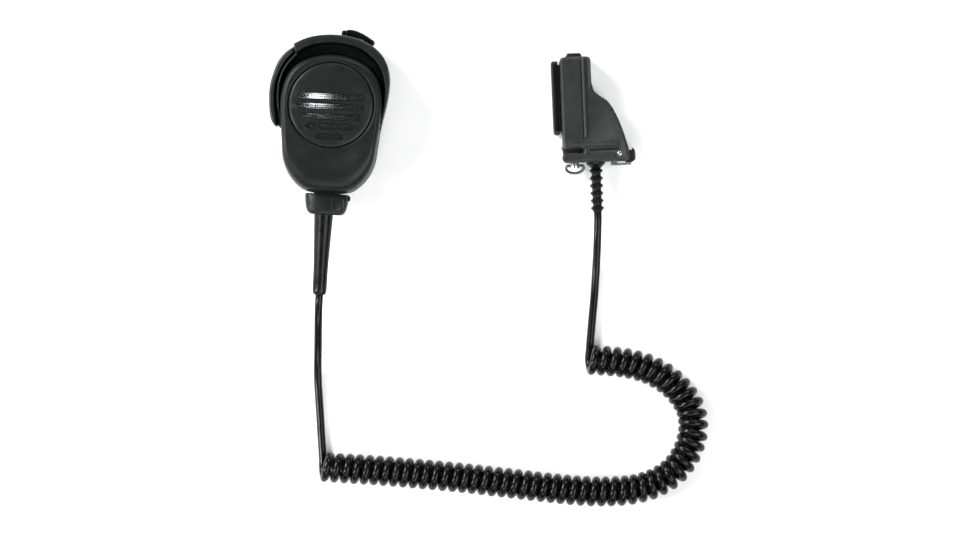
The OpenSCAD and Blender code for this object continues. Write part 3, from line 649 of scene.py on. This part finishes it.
rear = add_mesh("rear_shell", *loft(rear_rings, (0, 0, BACK_Z), (0, 0, BACK_Z + 2.4)), "microphone",
                "casing_back")
JACK_AT, JACK_TURN = Vector((12.6, 34.7, 16)), math.radians(-22)
jack_way = Vector((-math.sin(JACK_TURN), math.cos(JACK_TURN), 0))
LID_PIN = (4.6, 38)
SCREWS = [(17.5, -31), (-17.5, -31), (20.5, 18.3), (-11, 25.6)]
carve(rear,
      *[bar((x, y, 9), (x, y, 12.0), 2.7) for x, y in SCREWS],
      bar((0, 0, 9), (0, 0, 13), 2.85, 32),
      bar(JACK_AT - 12 * jack_way, JACK_AT + 4 * jack_way, 3.1, 32),
      bar((-31, -3, 17.4), (-23, -3, 17.4), 2),
      bar((*LID_PIN, 9), (*LID_PIN, 23), 0.65),
      prism([(-30, 12.4), (-22.5, 12.7), (-18, 18.4), (-19, 24.6), (-24, 26)], 13.6, 19.5))
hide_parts("rear_casing")


# ---------------------------------------------------------------- front casing with its raised face
def foot(ray):
    """Radius of the front casing where it meets the rear one."""
    return mix(ray["wall"] - 0.1, ray["in"] - 0.2, ease(ray["hood"] / 0.15))


def nose(ray):
    """0 over the disc, rising to 1 at the lower end, where the face slopes down more."""
    return ease((-ray["y"] - 18) / 24)


def side_ring(hooded, plain):
    """A ring up the front casing's side, one way inside the hood and another way below it."""
    def f(ray):
        a, b, t = hooded(ray), plain(ray), ease(ray["hood"] / 0.5)
        return mix(b[0], a[0], t), mix(b[1], a[1], t)
    return casing_ring(f)


DISC_R = 22.5
INSIDE_Z, RECESS_Z = 32.4, 34.12
front_rings = [
    casing_ring(lambda q: (min(foot(q), q["face"]) - 2.2, INSIDE_Z)),
    casing_ring(lambda q: (min(foot(q), q["face"]) - 2.1, 24)),
    casing_ring(lambda q: (foot(q) - 1.9, 22.5)),
    casing_ring(lambda q: (foot(q) - 1.9, PART_Z + 0.08)),
    casing_ring(lambda q: (foot(q) - 0.4, PART_Z + 0.08)),
    casing_ring(lambda q: (foot(q) - 0.08, PART_Z + 0.35)),
    side_ring(lambda q: (foot(q), 21), lambda q: (foot(q), 21)),
    side_ring(lambda q: (foot(q), 23.2), lambda q: (mix(foot(q), q["face"], 0.1), 22.6)),
    side_ring(lambda q: (foot(q) - 0.35, 23.85), lambda q: (mix(foot(q), q["face"], 0.3), 24.4)),
    side_ring(lambda q: (mix(foot(q), q["face"], 0.3), 24), lambda q: (mix(foot(q), q["face"], 0.55), 26)),
    side_ring(lambda q: (q["face"] + 0.5, 24), lambda q: (mix(foot(q), q["face"], 0.8), 27.6)),
    side_ring(lambda q: (q["face"] + 0.05, 24.5), lambda q: (q["face"], 29)),
]
SHOULDER_STEPS, FACE_STEPS = 7, 6
for step in range(SHOULDER_STEPS + 1):
    phi = math.pi / 2 * step / SHOULDER_STEPS
    front_rings.append(casing_ring(lambda q, phi=phi: (
        q["face"] - (2.9 + 5.5 * nose(q)) * (1 - math.cos(phi)),
        FACE_Z - 1.5 * nose(q) - (3.6 + 2.4 * nose(q)) * (1 - math.sin(phi)))))
for step in range(1, FACE_STEPS + 1):
    t = step / FACE_STEPS
    front_rings.append(casing_ring(lambda q, t=t: (
        mix(q["face"] - 2.9 - 5.5 * nose(q), DISC_R + 0.75, t),
        FACE_Z - 1.5 * nose(q) * (1 - ease(t)) + 0.02 * t)))
for r, z in ((DISC_R + 0.35, FACE_Z - 0.04), (DISC_R + 0.1, FACE_Z - 0.22), (DISC_R, FACE_Z - 0.6),
             (DISC_R, RECESS_Z), (DISC_R - 4, RECESS_Z)):
    front_rings.append(casing_ring(lambda q, r=r, z=z: (r, z)))
front = add_mesh("front_shell", *loft(front_rings, (0, 0, INSIDE_Z), (0, 0, RECESS_Z)), "microphone",
                 "casing_front")
even(front)
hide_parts("front_casing")

# ---------------------------------------------------------------- dark liner between hood and face, painted shade of the deep groove
def shade_liner_ring(r, z):
    """A ring of the dark liner that paints the groove's shade; it follows the groove and sinks into the front
    casing where the hood ends.
    """
    def f(ray):
        t = ease((ray["hood"] - 0.45) / 0.5)
        return mix(foot(ray) - 1.2, r(ray), t), mix(min(z, 24) - 2.8, z, t)
    return casing_ring(f)


shade_liner_rings = [shade_liner_ring(lambda q: q["in"] - 0.16, 31.3), shade_liner_ring(lambda q: q["in"] - 0.3, 25.6),
                shade_liner_ring(lambda q: q["in"] - 0.9, 24.5), shade_liner_ring(lambda q: q["face"] + 0.9, 24.45),
                shade_liner_ring(lambda q: q["face"] + 0.3, 25.0), shade_liner_ring(lambda q: q["face"] + 0.22, 28.5),
                shade_liner_ring(lambda q: q["face"] - 0.3, 28.4), shade_liner_ring(lambda q: q["face"] - 0.3, 23.4),
                shade_liner_ring(lambda q: q["in"] + 0.25, 23.4), shade_liner_ring(lambda q: q["in"] + 0.25, 31.2)]
# painted shade: a sheet of rubber darker than the casing lines the groove's walls and floor, where shade
# falls in the deep groove
add_mesh("groove_shade_liner", *loft(shade_liner_rings + shade_liner_rings[:1]), "microphone", "dark_rubber")

# ---------------------------------------------------------------- grille disc and the wire behind it
DISC_PROFILE = [(0, 36.55), (5, 36.52), (10, 36.42), (14, 36.3), (17.5, 36.12), (20, 35.92), (21.1, 35.72),
                (21.65, 35.4), (21.9, 34.9), (21.9, 34.5), (0, 34.5)]
SLOT_REACH = (17.7, 17.7, 15.9, 12.7, 7.2)
SLOT_TOP, SLOT_PITCH, SLOT_R = 4.3, 5.2, 1.42
disc = add_mesh("slotted_disc", *lathe(DISC_PROFILE, 120), "microphone", "grille")
cutters = []
for row, reach in enumerate(SLOT_REACH):
    middle = SLOT_TOP - SLOT_PITCH * row
    rings = []
    for grow, z in ((0, 34), (0, 35.75), (0.12, 36.1), (0.4, 36.5), (1.0, 37)):
        r = SLOT_R + grow
        rings.append([(s * (reach - 1.5) + r * math.sin(a) * s, middle + r * math.cos(a) * s, z)
                      for s in (1, -1) for a in [math.pi * k / 12 for k in range(13)]])
    cutters.append(loft(rings, "flat", "flat"))
carve(disc, *cutters)
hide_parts("grille_disc")

# the woven wire: its spacing, its radius, and how far it waves up and down
PITCH, WIRE, WAVE = 1.15, 0.15, 0.12
MESH_R, MESH_EDGE = 21.4, 20.7
# it is only woven where the slots are
WEAVE_LOW, WEAVE_HIGH, WEAVE_END = -19.5, 7.5, 8
weave = []
for axis in (0, 1):
    line = -MESH_EDGE + (0.5 * PITCH if axis else 0)
    row = 0
    while line < MESH_EDGE + 0.1:
        reach = math.sqrt(max(0, MESH_R ** 2 - line ** 2))
        low, high = (-reach, reach) if axis else (max(-reach, -MESH_R), min(reach, WEAVE_END))
        if high - low > 2 and (not axis or WEAVE_LOW < line < WEAVE_HIGH):
            count = max(6, int((high - low) / (PITCH / 4)))
            start = (math.pi if row % 2 else 0) + (math.pi / 2 if axis else 0)
            path = []
            for k in range(count + 1):
                s = mix(low, high, k / count)
                x, y = (s, line) if axis else (line, s)
                wave = WAVE * math.sin(math.pi * (s + MESH_EDGE) / PITCH + start)
                path.append(Vector((x, y, 34.55 - (x * x + y * y) / 900 + (wave if axis else -wave))))
            weave.append(tube(path, WIRE, 6))
        line += PITCH
        row += 1
mesh = add_mesh("woven_mesh", *together(*weave), "microphone", "mesh", WOVEN)
BACKING_PROFILE = [(0, 34.3), (12, 34.2), (21.4, 34.16), (21.8, 34.15), (0, 34.13)]
backing = add_mesh("mesh_backing", *lathe(BACKING_PROFILE, 64), "microphone", "mesh")
backing.data.materials[0] = material("polished_plate", (0.12, 0.12, 0.122), 0.06, metal=1.0, drift=0.01)
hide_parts("grille_mesh")


# ---------------------------------------------------------------- talk button
BUTTON_OUTER = [(-28.6, -12.4), (-30.6, -9.4), (-31.8, -5), (-32.5, 3), (-32.3, 9), (-31, 15), (-28.9, 21),
                (-25.4, 26), (-21.6, 29)]
BUTTON_INNER = [(-20.4, 26.6), (-24.6, 21.6), (-27.5, 16), (-29.2, 10), (-29.5, 3), (-28.7, -4), (-28.1, -8),
                (-27.6, -12.1)]
SAMPLES = 150
outer = resample(catmull(BUTTON_OUTER, 12, False), SAMPLES)
inner = resample(catmull(BUTTON_INNER[::-1], 12, False), SAMPLES)
PADDLE_LENGTH = 46.0
GROOVES, GROOVES_FROM, GROOVES_TO = 44, 0.24, 0.74


def groove_depth(s):
    """Depth, from 0 to 1, of the finger grooves at a fraction of the paddle's length."""
    if not GROOVES_FROM < s < GROOVES_TO:
        return 0
    return ease(math.sin(math.pi * (s - GROOVES_FROM) / 0.5) * 6) * (
        0.5 - 0.5 * math.cos(2 * math.pi * s * GROOVES))


def button_ring(d, z, groove):
    """The paddle's outline moved inward by d, with grooves of a given depth in its outer side."""
    left, right = [], []
    for k in range(SAMPLES + 1):
        f = min(max(k, d / PADDLE_LENGTH * SAMPLES), SAMPLES * (1 - d / PADDLE_LENGTH))
        i = min(int(f), SAMPLES - 1)
        o, p = outer[i].lerp(outer[i + 1], f - i), inner[i].lerp(inner[i + 1], f - i)
        gap = (p - o).length
        cut = min(d, 0.42 * gap)
        left.append(o + (p - o) * ((cut + groove * groove_depth(k / SAMPLES)) / gap))
        right.append(p + (o - p) * (cut / gap))
    return [(q.x, q.y, z) for q in left + right[::-1]]


paddle_rings = [button_ring(d, z, groove) for d, z, groove in (
    (1.1, 12.65, 0), (0.5, 12.8, 0), (0.15, 13.3, 0), (0, 14.1, 0), (0, 15.4, 0), (0, 16.2, 0.45),
    (0, 22, 0.45), (0, 27.4, 0.45), (0, 28.2, 0), (0, 29.4, 0), (0.12, 30.3, 0), (0.45, 31.05, 0),
    (0.95, 31.42, 0), (1.3, 31.5, 0))]
arm = [Vector(p) for p in [(-29, 15.4), (-25.6, 20.6), (-21.8, 22.6), (-19.4, 21.8), (-19.1, 19.3),
                           (-21, 17.8), (-24.5, 15.8), (-28.4, 14.6)]]
paddle = add_mesh("talk_paddle", *together(loft(paddle_rings, "flat", "flat"),
                                           slab(arm, [(0.2, 14), (0, 14.3), (0, 18.9), (0.2, 19.2)])),
                  "talk", "button")
even(paddle)
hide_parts("talk_button")


# ---------------------------------------------------------------- earphone jack cover
LID_STEPS, LID_FROM, LID_TO = 40, 82.4, 58.6
LID_OUT = [(0, 3.2), (0.06, 3.9), (0.14, 4.2), (0.32, 4.25), (0.55, 3.8), (0.8, 3.25), (0.93, 3.1),
           (0.985, 2.6), (1, 1.9)]


def lid_reach(t):
    """How far the cover stands out from the casing at a fraction of its length."""
    for (a, u), (b, v) in zip(LID_OUT, LID_OUT[1:]):
        if t <= b:
            return mix(u, v, (t - a) / (b - a))
    return LID_OUT[-1][1]


lid_in, lid_out = [], []
for k in range(LID_STEPS + 1):
    a = math.radians(mix(LID_FROM, LID_TO, k / LID_STEPS))
    way = Vector((math.cos(a), math.sin(a)))
    edge = max(crossings(HEAD, way))
    lid_in.append(way * (edge + 0.35))
    lid_out.append(way * (edge + lid_reach(k / LID_STEPS)))
lid_levels = [(0.8, 11.5), (0.25, 11.7), (0, 12.3), (0, 19.6), (0.12, 20.2), (0.4, 20.6), (0.9, 20.8)]
lid = add_mesh("jack_lid", *together(slab(lid_out + lid_in[::-1], lid_levels),
                                     bar((*LID_PIN, 11.5), (*LID_PIN, 20.8), 1.35, 28)),
               "jack_lid", "dark_rubber")
carve(lid, bar(JACK_AT - jack_way, JACK_AT + 1.6 * jack_way, 4.6, 32),
      bar((*LID_PIN, 9), (*LID_PIN, 23), 0.64))
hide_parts("jack_cover")
lug = fillet([(3.1, 34.6, 0.2), (6.1, 34.6, 0.2), (6.1, 39.5, 1.45), (3.1, 39.5, 1.45)], 8)
add_mesh("lid_lugs", *together(*[slab(lug, [(0.25, z), (0, z + 0.2), (0, z + 1.1), (0.25, z + 1.3)])
                                 for z in (10.05, 21.0)]), "microphone", "casing_back")

# ---------------------------------------------------------------- cord collar and boot
EXIT_X, EXIT_Z, COLLAR_END, SQUARENESS = -1.2, 20, -56.7, 3.2


def collar_ring(y, half, up, low, sides=72):
    """A rounded-square ring across the cord's exit: half its width, and its height up and down."""
    ring = []
    for k in range(sides):
        a = 2 * math.pi * k / sides
        c, s = math.cos(a), math.sin(a)
        ring.append((half * math.copysign(abs(c) ** (2 / SQUARENESS), c), y,
                     EXIT_Z + (up if s > 0 else low) * math.copysign(abs(s) ** (2 / SQUARENESS), s)))
    return ring


collar_rings = [collar_ring(*v) for v in (
    (-45.75, 10.7, 5.6, 5.4), (-45.9, 11.1, 6.1, 5.9), (-46.4, 11.35, 6.4, 6.2), (-48, 11.3, 6.8, 6.5),
    (-50.5, 11.05, 7.2, 6.9), (-52.8, 10.7, 7.4, 7.15), (-54.2, 10.3, 7.35, 7.1), (-55.3, 9.7, 7.1, 6.9),
    (-56.1, 8.9, 6.7, 6.5), (-56.55, 8.0, 6.2, 6.0), (COLLAR_END, 7.1, 5.7, 5.5))]
u_bend = [(6.1 - 2.9 * math.cos(a), -52.6 - 2.3 * math.sin(a))
          for a in [math.pi * k / 8 for k in range(1, 8)]]
collar_u = []  # the raised outline on the collar's upper side
for x, y in [(3.2, -48.2), (3.2, -52.6)] + u_bend + [(9.0, -52.6), (9.0, -48.2)]:
    t = abs(x) / 11.1
    collar_u.append(Vector((x, y, EXIT_Z + 7.22 * (1 - t ** SQUARENESS) ** (1 / SQUARENESS) - 0.12)))
collar_u = smooth_path(collar_u, 0.6)
collar_bump = [Vector(p) for p in [(11.0, -46.6, 22), (11.55, -47.2, 22), (11.6, -48.2, 22),
                                   (11.1, -48.9, 22)]]
collar_shape = together(loft(collar_rings, "flat", "flat"), tube(collar_u, 0.5, 10),
                        tube(collar_bump, 0.75, 10),
                        prism([(-6.6, -46), (6.6, -46), (6.6, -41), (-6.6, -41)], 15.2, 24.8))
collar = add_mesh("collar_shell", *collar_shape, "microphone", NODE_SLOT["cord_collar"])
even(collar)
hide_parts("cord_collar")

BOOT_PROFILE = [(2.1, 5), (5, 5), (5, 0.2), (4.95, -0.3), (4.9, -2), (4.55, -10), (4.2, -18), (3.95, -24),
                (3.8, -30), (3.78, -36), (3.74, -38.8), (3.62, -40.2), (3.3, -41.1), (2.8, -41.6),
                (2.3, -41.8), (2.1, -41.8)]
boot = add_mesh("boot_sleeve", *lathe(BOOT_PROFILE + BOOT_PROFILE[:1], 56,
                                      lambda x, y, z: (x + EXIT_X, COLLAR_END + z, EXIT_Z + y)),
                "microphone", "dark_rubber")
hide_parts("cord_boot")


# ---------------------------------------------------------------- connector, made in its own frame
CONN_AT, CONN_TURN = Vector((139.1, -20.6, 0)), math.radians(5.5)
CONN_MATRIX = Matrix.Translation(CONN_AT) @ Matrix.Rotation(CONN_TURN, 4, "Z")


def add_conn(name, shape, slot, smooth=SHARP, body="microphone"):
    """A piece of the connector, from a shape in the connector's frame."""
    points, faces = shape
    return add_mesh(name, [CONN_MATRIX @ Vector(p) for p in points], faces, body, slot, smooth)


def conn_cut(*shapes):
    """Cutters for the connector, moved from its frame to where it lies."""
    points, faces = together(*shapes)
    return [CONN_MATRIX @ Vector(p) for p in points], faces


def box(x0, y0, x1, y1, low, high):
    """A plain block, from its corners and its two heights."""
    return prism([(x0, y0), (x1, y0), (x1, y1), (x0, y1)], low, high)


CONN_OUTLINE = fillet([(-17.4, -0.8, 2.2), (16.9, -0.8, 2.2), (16.95, 5.6, 3), (14.7, 14, 6), (12.2, 21, 6),
                       (9.2, 27.5, 6), (6.6, 31, 4), (2.6, 33.8, 4), (0, 36.4, 3), (-1.1, 40.4, 4),
                       (-1.1, 54.3, 2.2), (-17.3, 54.3, 2.6)])
tab_notch = together(box(13.2, -3, 16, 5.2, 2.5, 14.5), box(15.9, -3, 20, 5.2, 3.6, 13.4))
# what both halves leave free: contact block, hook tab, cord's exit, lock screw, release knob
CONN_CUTS = [
    conn_cut(box(-20.3, 15.8, -14.3, 50.6, 3.2, 13.8),
             box(-14.1, 49, -5.4, 60, 4.9, 12.1),
             bar((-0.5, -3, 8.5), (-0.5, 3.4, 8.5), 5.25, 40),
             bar((-11.5, -3, 8.5), (-11.5, 10, 8.5), 1.6)),
    conn_cut(tab_notch)]
lock_slot = prism(fillet([(-19, 4.1, 0.3), (-6.6, 4.1, 1.0), (-6.6, 6.7, 1.0), (-19, 6.7, 0.3)]), 12, 20)
long_slot = prism(fillet([(-3.6, 4.9, 0.6), (11.5, 4.9, 0.6), (11.5, 6.1, 0.6), (-3.6, 6.1, 0.6)]), 15.9, 20)
facet = loft([[(x - 3.4 * 0.92, y - 3.4 * 0.38, 17.3), (x + 1.2 * 0.92, y + 1.2 * 0.38, 14.6),
               (x + 1.2 * 0.92, y + 1.2 * 0.38, 19)] for x, y in ((14.1, 15.6), (9.6, 26.6))], "flat", "flat")
case_front = add_conn("connector_top", slab(CONN_OUTLINE, [
    (0.45, 8.62), (0.12, 8.75), (0, 9.1), (0, 15.3), (0.12, 15.95), (0.4, 16.5), (0.85, 16.85), (1.4, 17),
    (1.7, 17.01)]), "connector_case")
carve(case_front, *CONN_CUTS, conn_cut(lock_slot), conn_cut(long_slot), conn_cut(facet))
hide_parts("connector_front")
case_back = add_conn("connector_bottom", slab(CONN_OUTLINE, [
    (1.7, 0.0), (1.2, 0.05), (0.5, 0.4), (0.12, 1.0), (0, 1.7), (0, 7.9), (0.12, 8.25), (0.45, 8.38)]),
    "connector_frame")
carve(case_back, *CONN_CUTS,
      conn_cut(*[bar((x, y, -1), (x, y, 2), 1.8) for x, y in ((-3, 51.2), (11.6, 12.4), (-15.2, 10.6))]))
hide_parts("connector_back")

BLOCK = fillet([(-16.7, 9.9, 1.2), (-6.4, 9.9, 1.2), (-6.4, 53.3, 1.2), (-16.7, 53.3, 1.6)])
LOWER_LIP = fillet([(-17.9, -0.3, 1.9), (10.4, -0.3, 1.9), (10.4, 3.9, 1.9), (-17.9, 3.9, 1.9)])


def rib(a, b, half, height, z=17.0, n=9):
    """A long ridge with a round top and round ends, from a to b in plan, on a face at height z."""
    a, b = Vector(a), Vector(b)
    along = (b - a).normalized()
    across = Vector((-along.y, along.x))
    length = (b - a).length
    rings = []
    steps = [(-1.0, 0.05), (-0.9, 0.45), (-0.6, 0.8), (0, 1.0)]
    stations = [(half * s, k) for s, k in steps] + [(length - half * s, k) for s, k in steps[::-1]]
    for s, k in stations:
        middle = a + along * s
        ring = [(*(middle + across * (half * k * math.cos(math.pi * j / n))),
                 z + height * k * math.sin(math.pi * j / n)) for j in range(n + 1)]
        rings.append(ring + [(*(middle + side * across * (half * k)), z - 0.6) for side in (-1, 1)])
    return loft(rings, "flat", "flat")


SLOT_END = [Vector(p) for p in [(-7.2, 7.0, 17.1), (-6.2, 6.9, 17.2), (-5.5, 6.2, 17.25), (-5.4, 5.2, 17.25),
                                (-5.6, 4.3, 17.2), (-6.4, 3.8, 17.1)]]
FACET_EDGE = [(8.0, 27.07, 16.8), (6.6, 26.4, 17), (6.1, 25.2, 17.02), (8.3, 19.8, 17.02),
              (10.5, 14.6, 17.02), (11.3, 13.8, 17), (13.2, 14.56, 16.85)]
raised = add_conn("connector_ribs", together(
    slab(BLOCK, [(0, 16.4), (0, 17.25), (0.15, 17.5), (0.5, 17.72), (1.0, 17.8)]),
    slab(LOWER_LIP, [(0, 15.2), (0, 16.7), (0.12, 17.1), (0.4, 17.45), (0.8, 17.68), (1.2, 17.75)]),
    rib((-5.1, 12.6), (-5.1, 53), 1.0, 1.05),
    rib((-2.1, 38), (-2.1, 53.2), 0.6, 0.55),
    rib((-15.5, 8.2), (10.2, 8.2), 0.95, 0.75),
    tube(SLOT_END, 0.62, 10),
    tube(smooth_path(FACET_EDGE, 0.5), 0.42, 10)), "connector_case")
even(raised)

STRIP = fillet([(-21.8, 14, 1.9), (-18.3, 14, 1.5), (-18.3, 52.4, 0.8), (-21.8, 52.4, 1.2)])
strip = add_conn("contact_strip", together(
    slab(STRIP, [(0.5, 1), (0.12, 1.15), (0, 1.6), (0, 15.2), (0.15, 15.7), (0.5, 16)]),
    box(-18.5, 15.9, -15.3, 50.5, 3.4, 13.6)), "connector_frame")
strip_groove = fillet([(-20.85, 15.8, 0.8), (-18.7, 15.8, 0.8), (-18.7, 50.9, 0.8), (-20.85, 50.9, 0.8)])
carve(strip, conn_cut(box(-24, 17, -10, 49.4, 4, 13), box(-23, 15.2, -20.9, 51.2, 2.2, 14.6),
                      prism(strip_groove, 13.6, 20)))
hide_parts("connector_flange")

SCREW_PROFILE = [(0, 17.75), (0.5, 17.74), (0.95, 17.62), (1.2, 17.4), (1.28, 17.1), (1.28, 16.4), (0, 16.4)]
small_screw = add_conn("top_screw", lathe(SCREW_PROFILE, 32, lambda x, y, z: (x + 12.1, y + 3.1, z)),
                       "nickel")
carve(small_screw, conn_cut(box(10.5, 2.9, 13.7, 3.3, 17.4, 19)))

RIBS, RIB_PITCH = 6, 3.9
relief_profile = [(2.15, 3.2), (5.1, 3.2), (5.1, 1.3), (3.0, 1.3), (3.0, -0.7), (5.2, -0.7), (5.0, -1.5),
                  (4.3, -2.4), (3.1, -3.4), (2.5, -4.0)]
for k in range(RIBS):
    y = -4.1 - RIB_PITCH * k
    relief_profile += [(2.45, y - 0.05), (3.45, y - 0.9), (3.62, y - 1.25), (3.3, y - 1.7), (2.45, y - 2.7),
                       (2.4, y - 3.1)]
relief_profile += [(2.4, -26.2), (2.15, -26.4)]
relief = add_conn("strain_relief", lathe(relief_profile + relief_profile[:1], 48,
                                         lambda x, y, z: (-0.5 + x, z, 8.5 + y)), "dark_rubber")
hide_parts("connector_boot")

KNOB = fillet([(15.2, -1.65, 0.3), (18.3, -1.65, 0.9), (20.2, -0.5, 1.5), (20.5, 2.2, 2), (20.2, 4.5, 1.5),
               (19.4, 5.7, 0.5), (18.7, 5.7, 0.4), (18.5, 4.85, 0.4), (15.2, 4.85, 0.3)])
knob_grooves = [box(20.05, y, 22, y + 0.35, 3, 15) for y in (0.6, 1.6, 2.6, 3.6)]
knob = add_conn("release_knob", together(
    slab(KNOB, [(0.28, 3.95), (0.08, 4.15), (0, 4.6), (0, 12.3), (0.08, 12.8), (0.28, 13.05)]),
    box(15.0, -1.6, 15.8, 4.8, 2.9, 14.1)), NODE_SLOT["release_tab"], SHARP, "release")
carve(knob, conn_cut(*knob_grooves), conn_cut(bar((14, 1.8, 8.5), (16.6, 1.8, 8.5), 1.6)))
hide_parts("release_tab")

RING_AT = Vector((-11.5, -2.3, 8.5))
ring_bow = [(4.7 * math.cos(math.radians(a)), -0.7 - 3.2 * math.sin(math.radians(a)), 0)
            for a in range(12, 169, 12)]
ring_path = smooth_path([(2.9, 0, 0), (3.5, 0, 0), (4.4, -0.35, 0)] + ring_bow
                        + [(-4.4, -0.35, 0), (-3.5, 0, 0), (-2.9, 0, 0)], 0.35)
ring_path += smooth_path([(-2.9, 0, 0), (2.9, 0, 0)], 0.6)[1:-1]
ring_points, ring_faces = tube(ring_path + ring_path[:1], 0.78, 16, False)
ring = add_conn("wire_ring", ([RING_AT + Vector(p) for p in ring_points], ring_faces), "spring_steel",
                ROUND, "ring")
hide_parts("lock_ring")

# ---------------------------------------------------------------- floor
FLOOR_HALF, FLOOR_DROP = 4, -0.0004
floor_mesh = bpy.data.meshes.new("floor")
floor_mesh.from_pydata([(x * FLOOR_HALF, y * FLOOR_HALF, FLOOR_DROP)
                        for x, y in ((-1, -1), (1, -1), (1, 1), (-1, 1))], [], [(0, 1, 2, 3)])
floor = bpy.data.objects.new("floor", floor_mesh)
bpy.context.scene.collection.objects.link(floor)
floor.data.materials.append(material("floor_paper", (0.8, 0.805, 0.8), 0.9, vary=0.01, specular=0.05))

# ---------------------------------------------------------------- CAD nodes that keep their shape
EDGE = {"clip_base": 0.5, "clip_plate": 0.5, "guide_hook": 0.6, "lock_screw": 0.25, "release_strap": 0.2}
SMALL_EDGE, WIDE_EDGE = 0.12, 0.5
for node, obj in NODES.items():
    dress(obj, NODE_SLOT[node])
    if obj.hide_render:
        continue
    edge = EDGE.get(node, SMALL_EDGE)
    soften(obj, edge, 3 if edge >= WIDE_EDGE else 2)

bpy.context.view_layer.update()
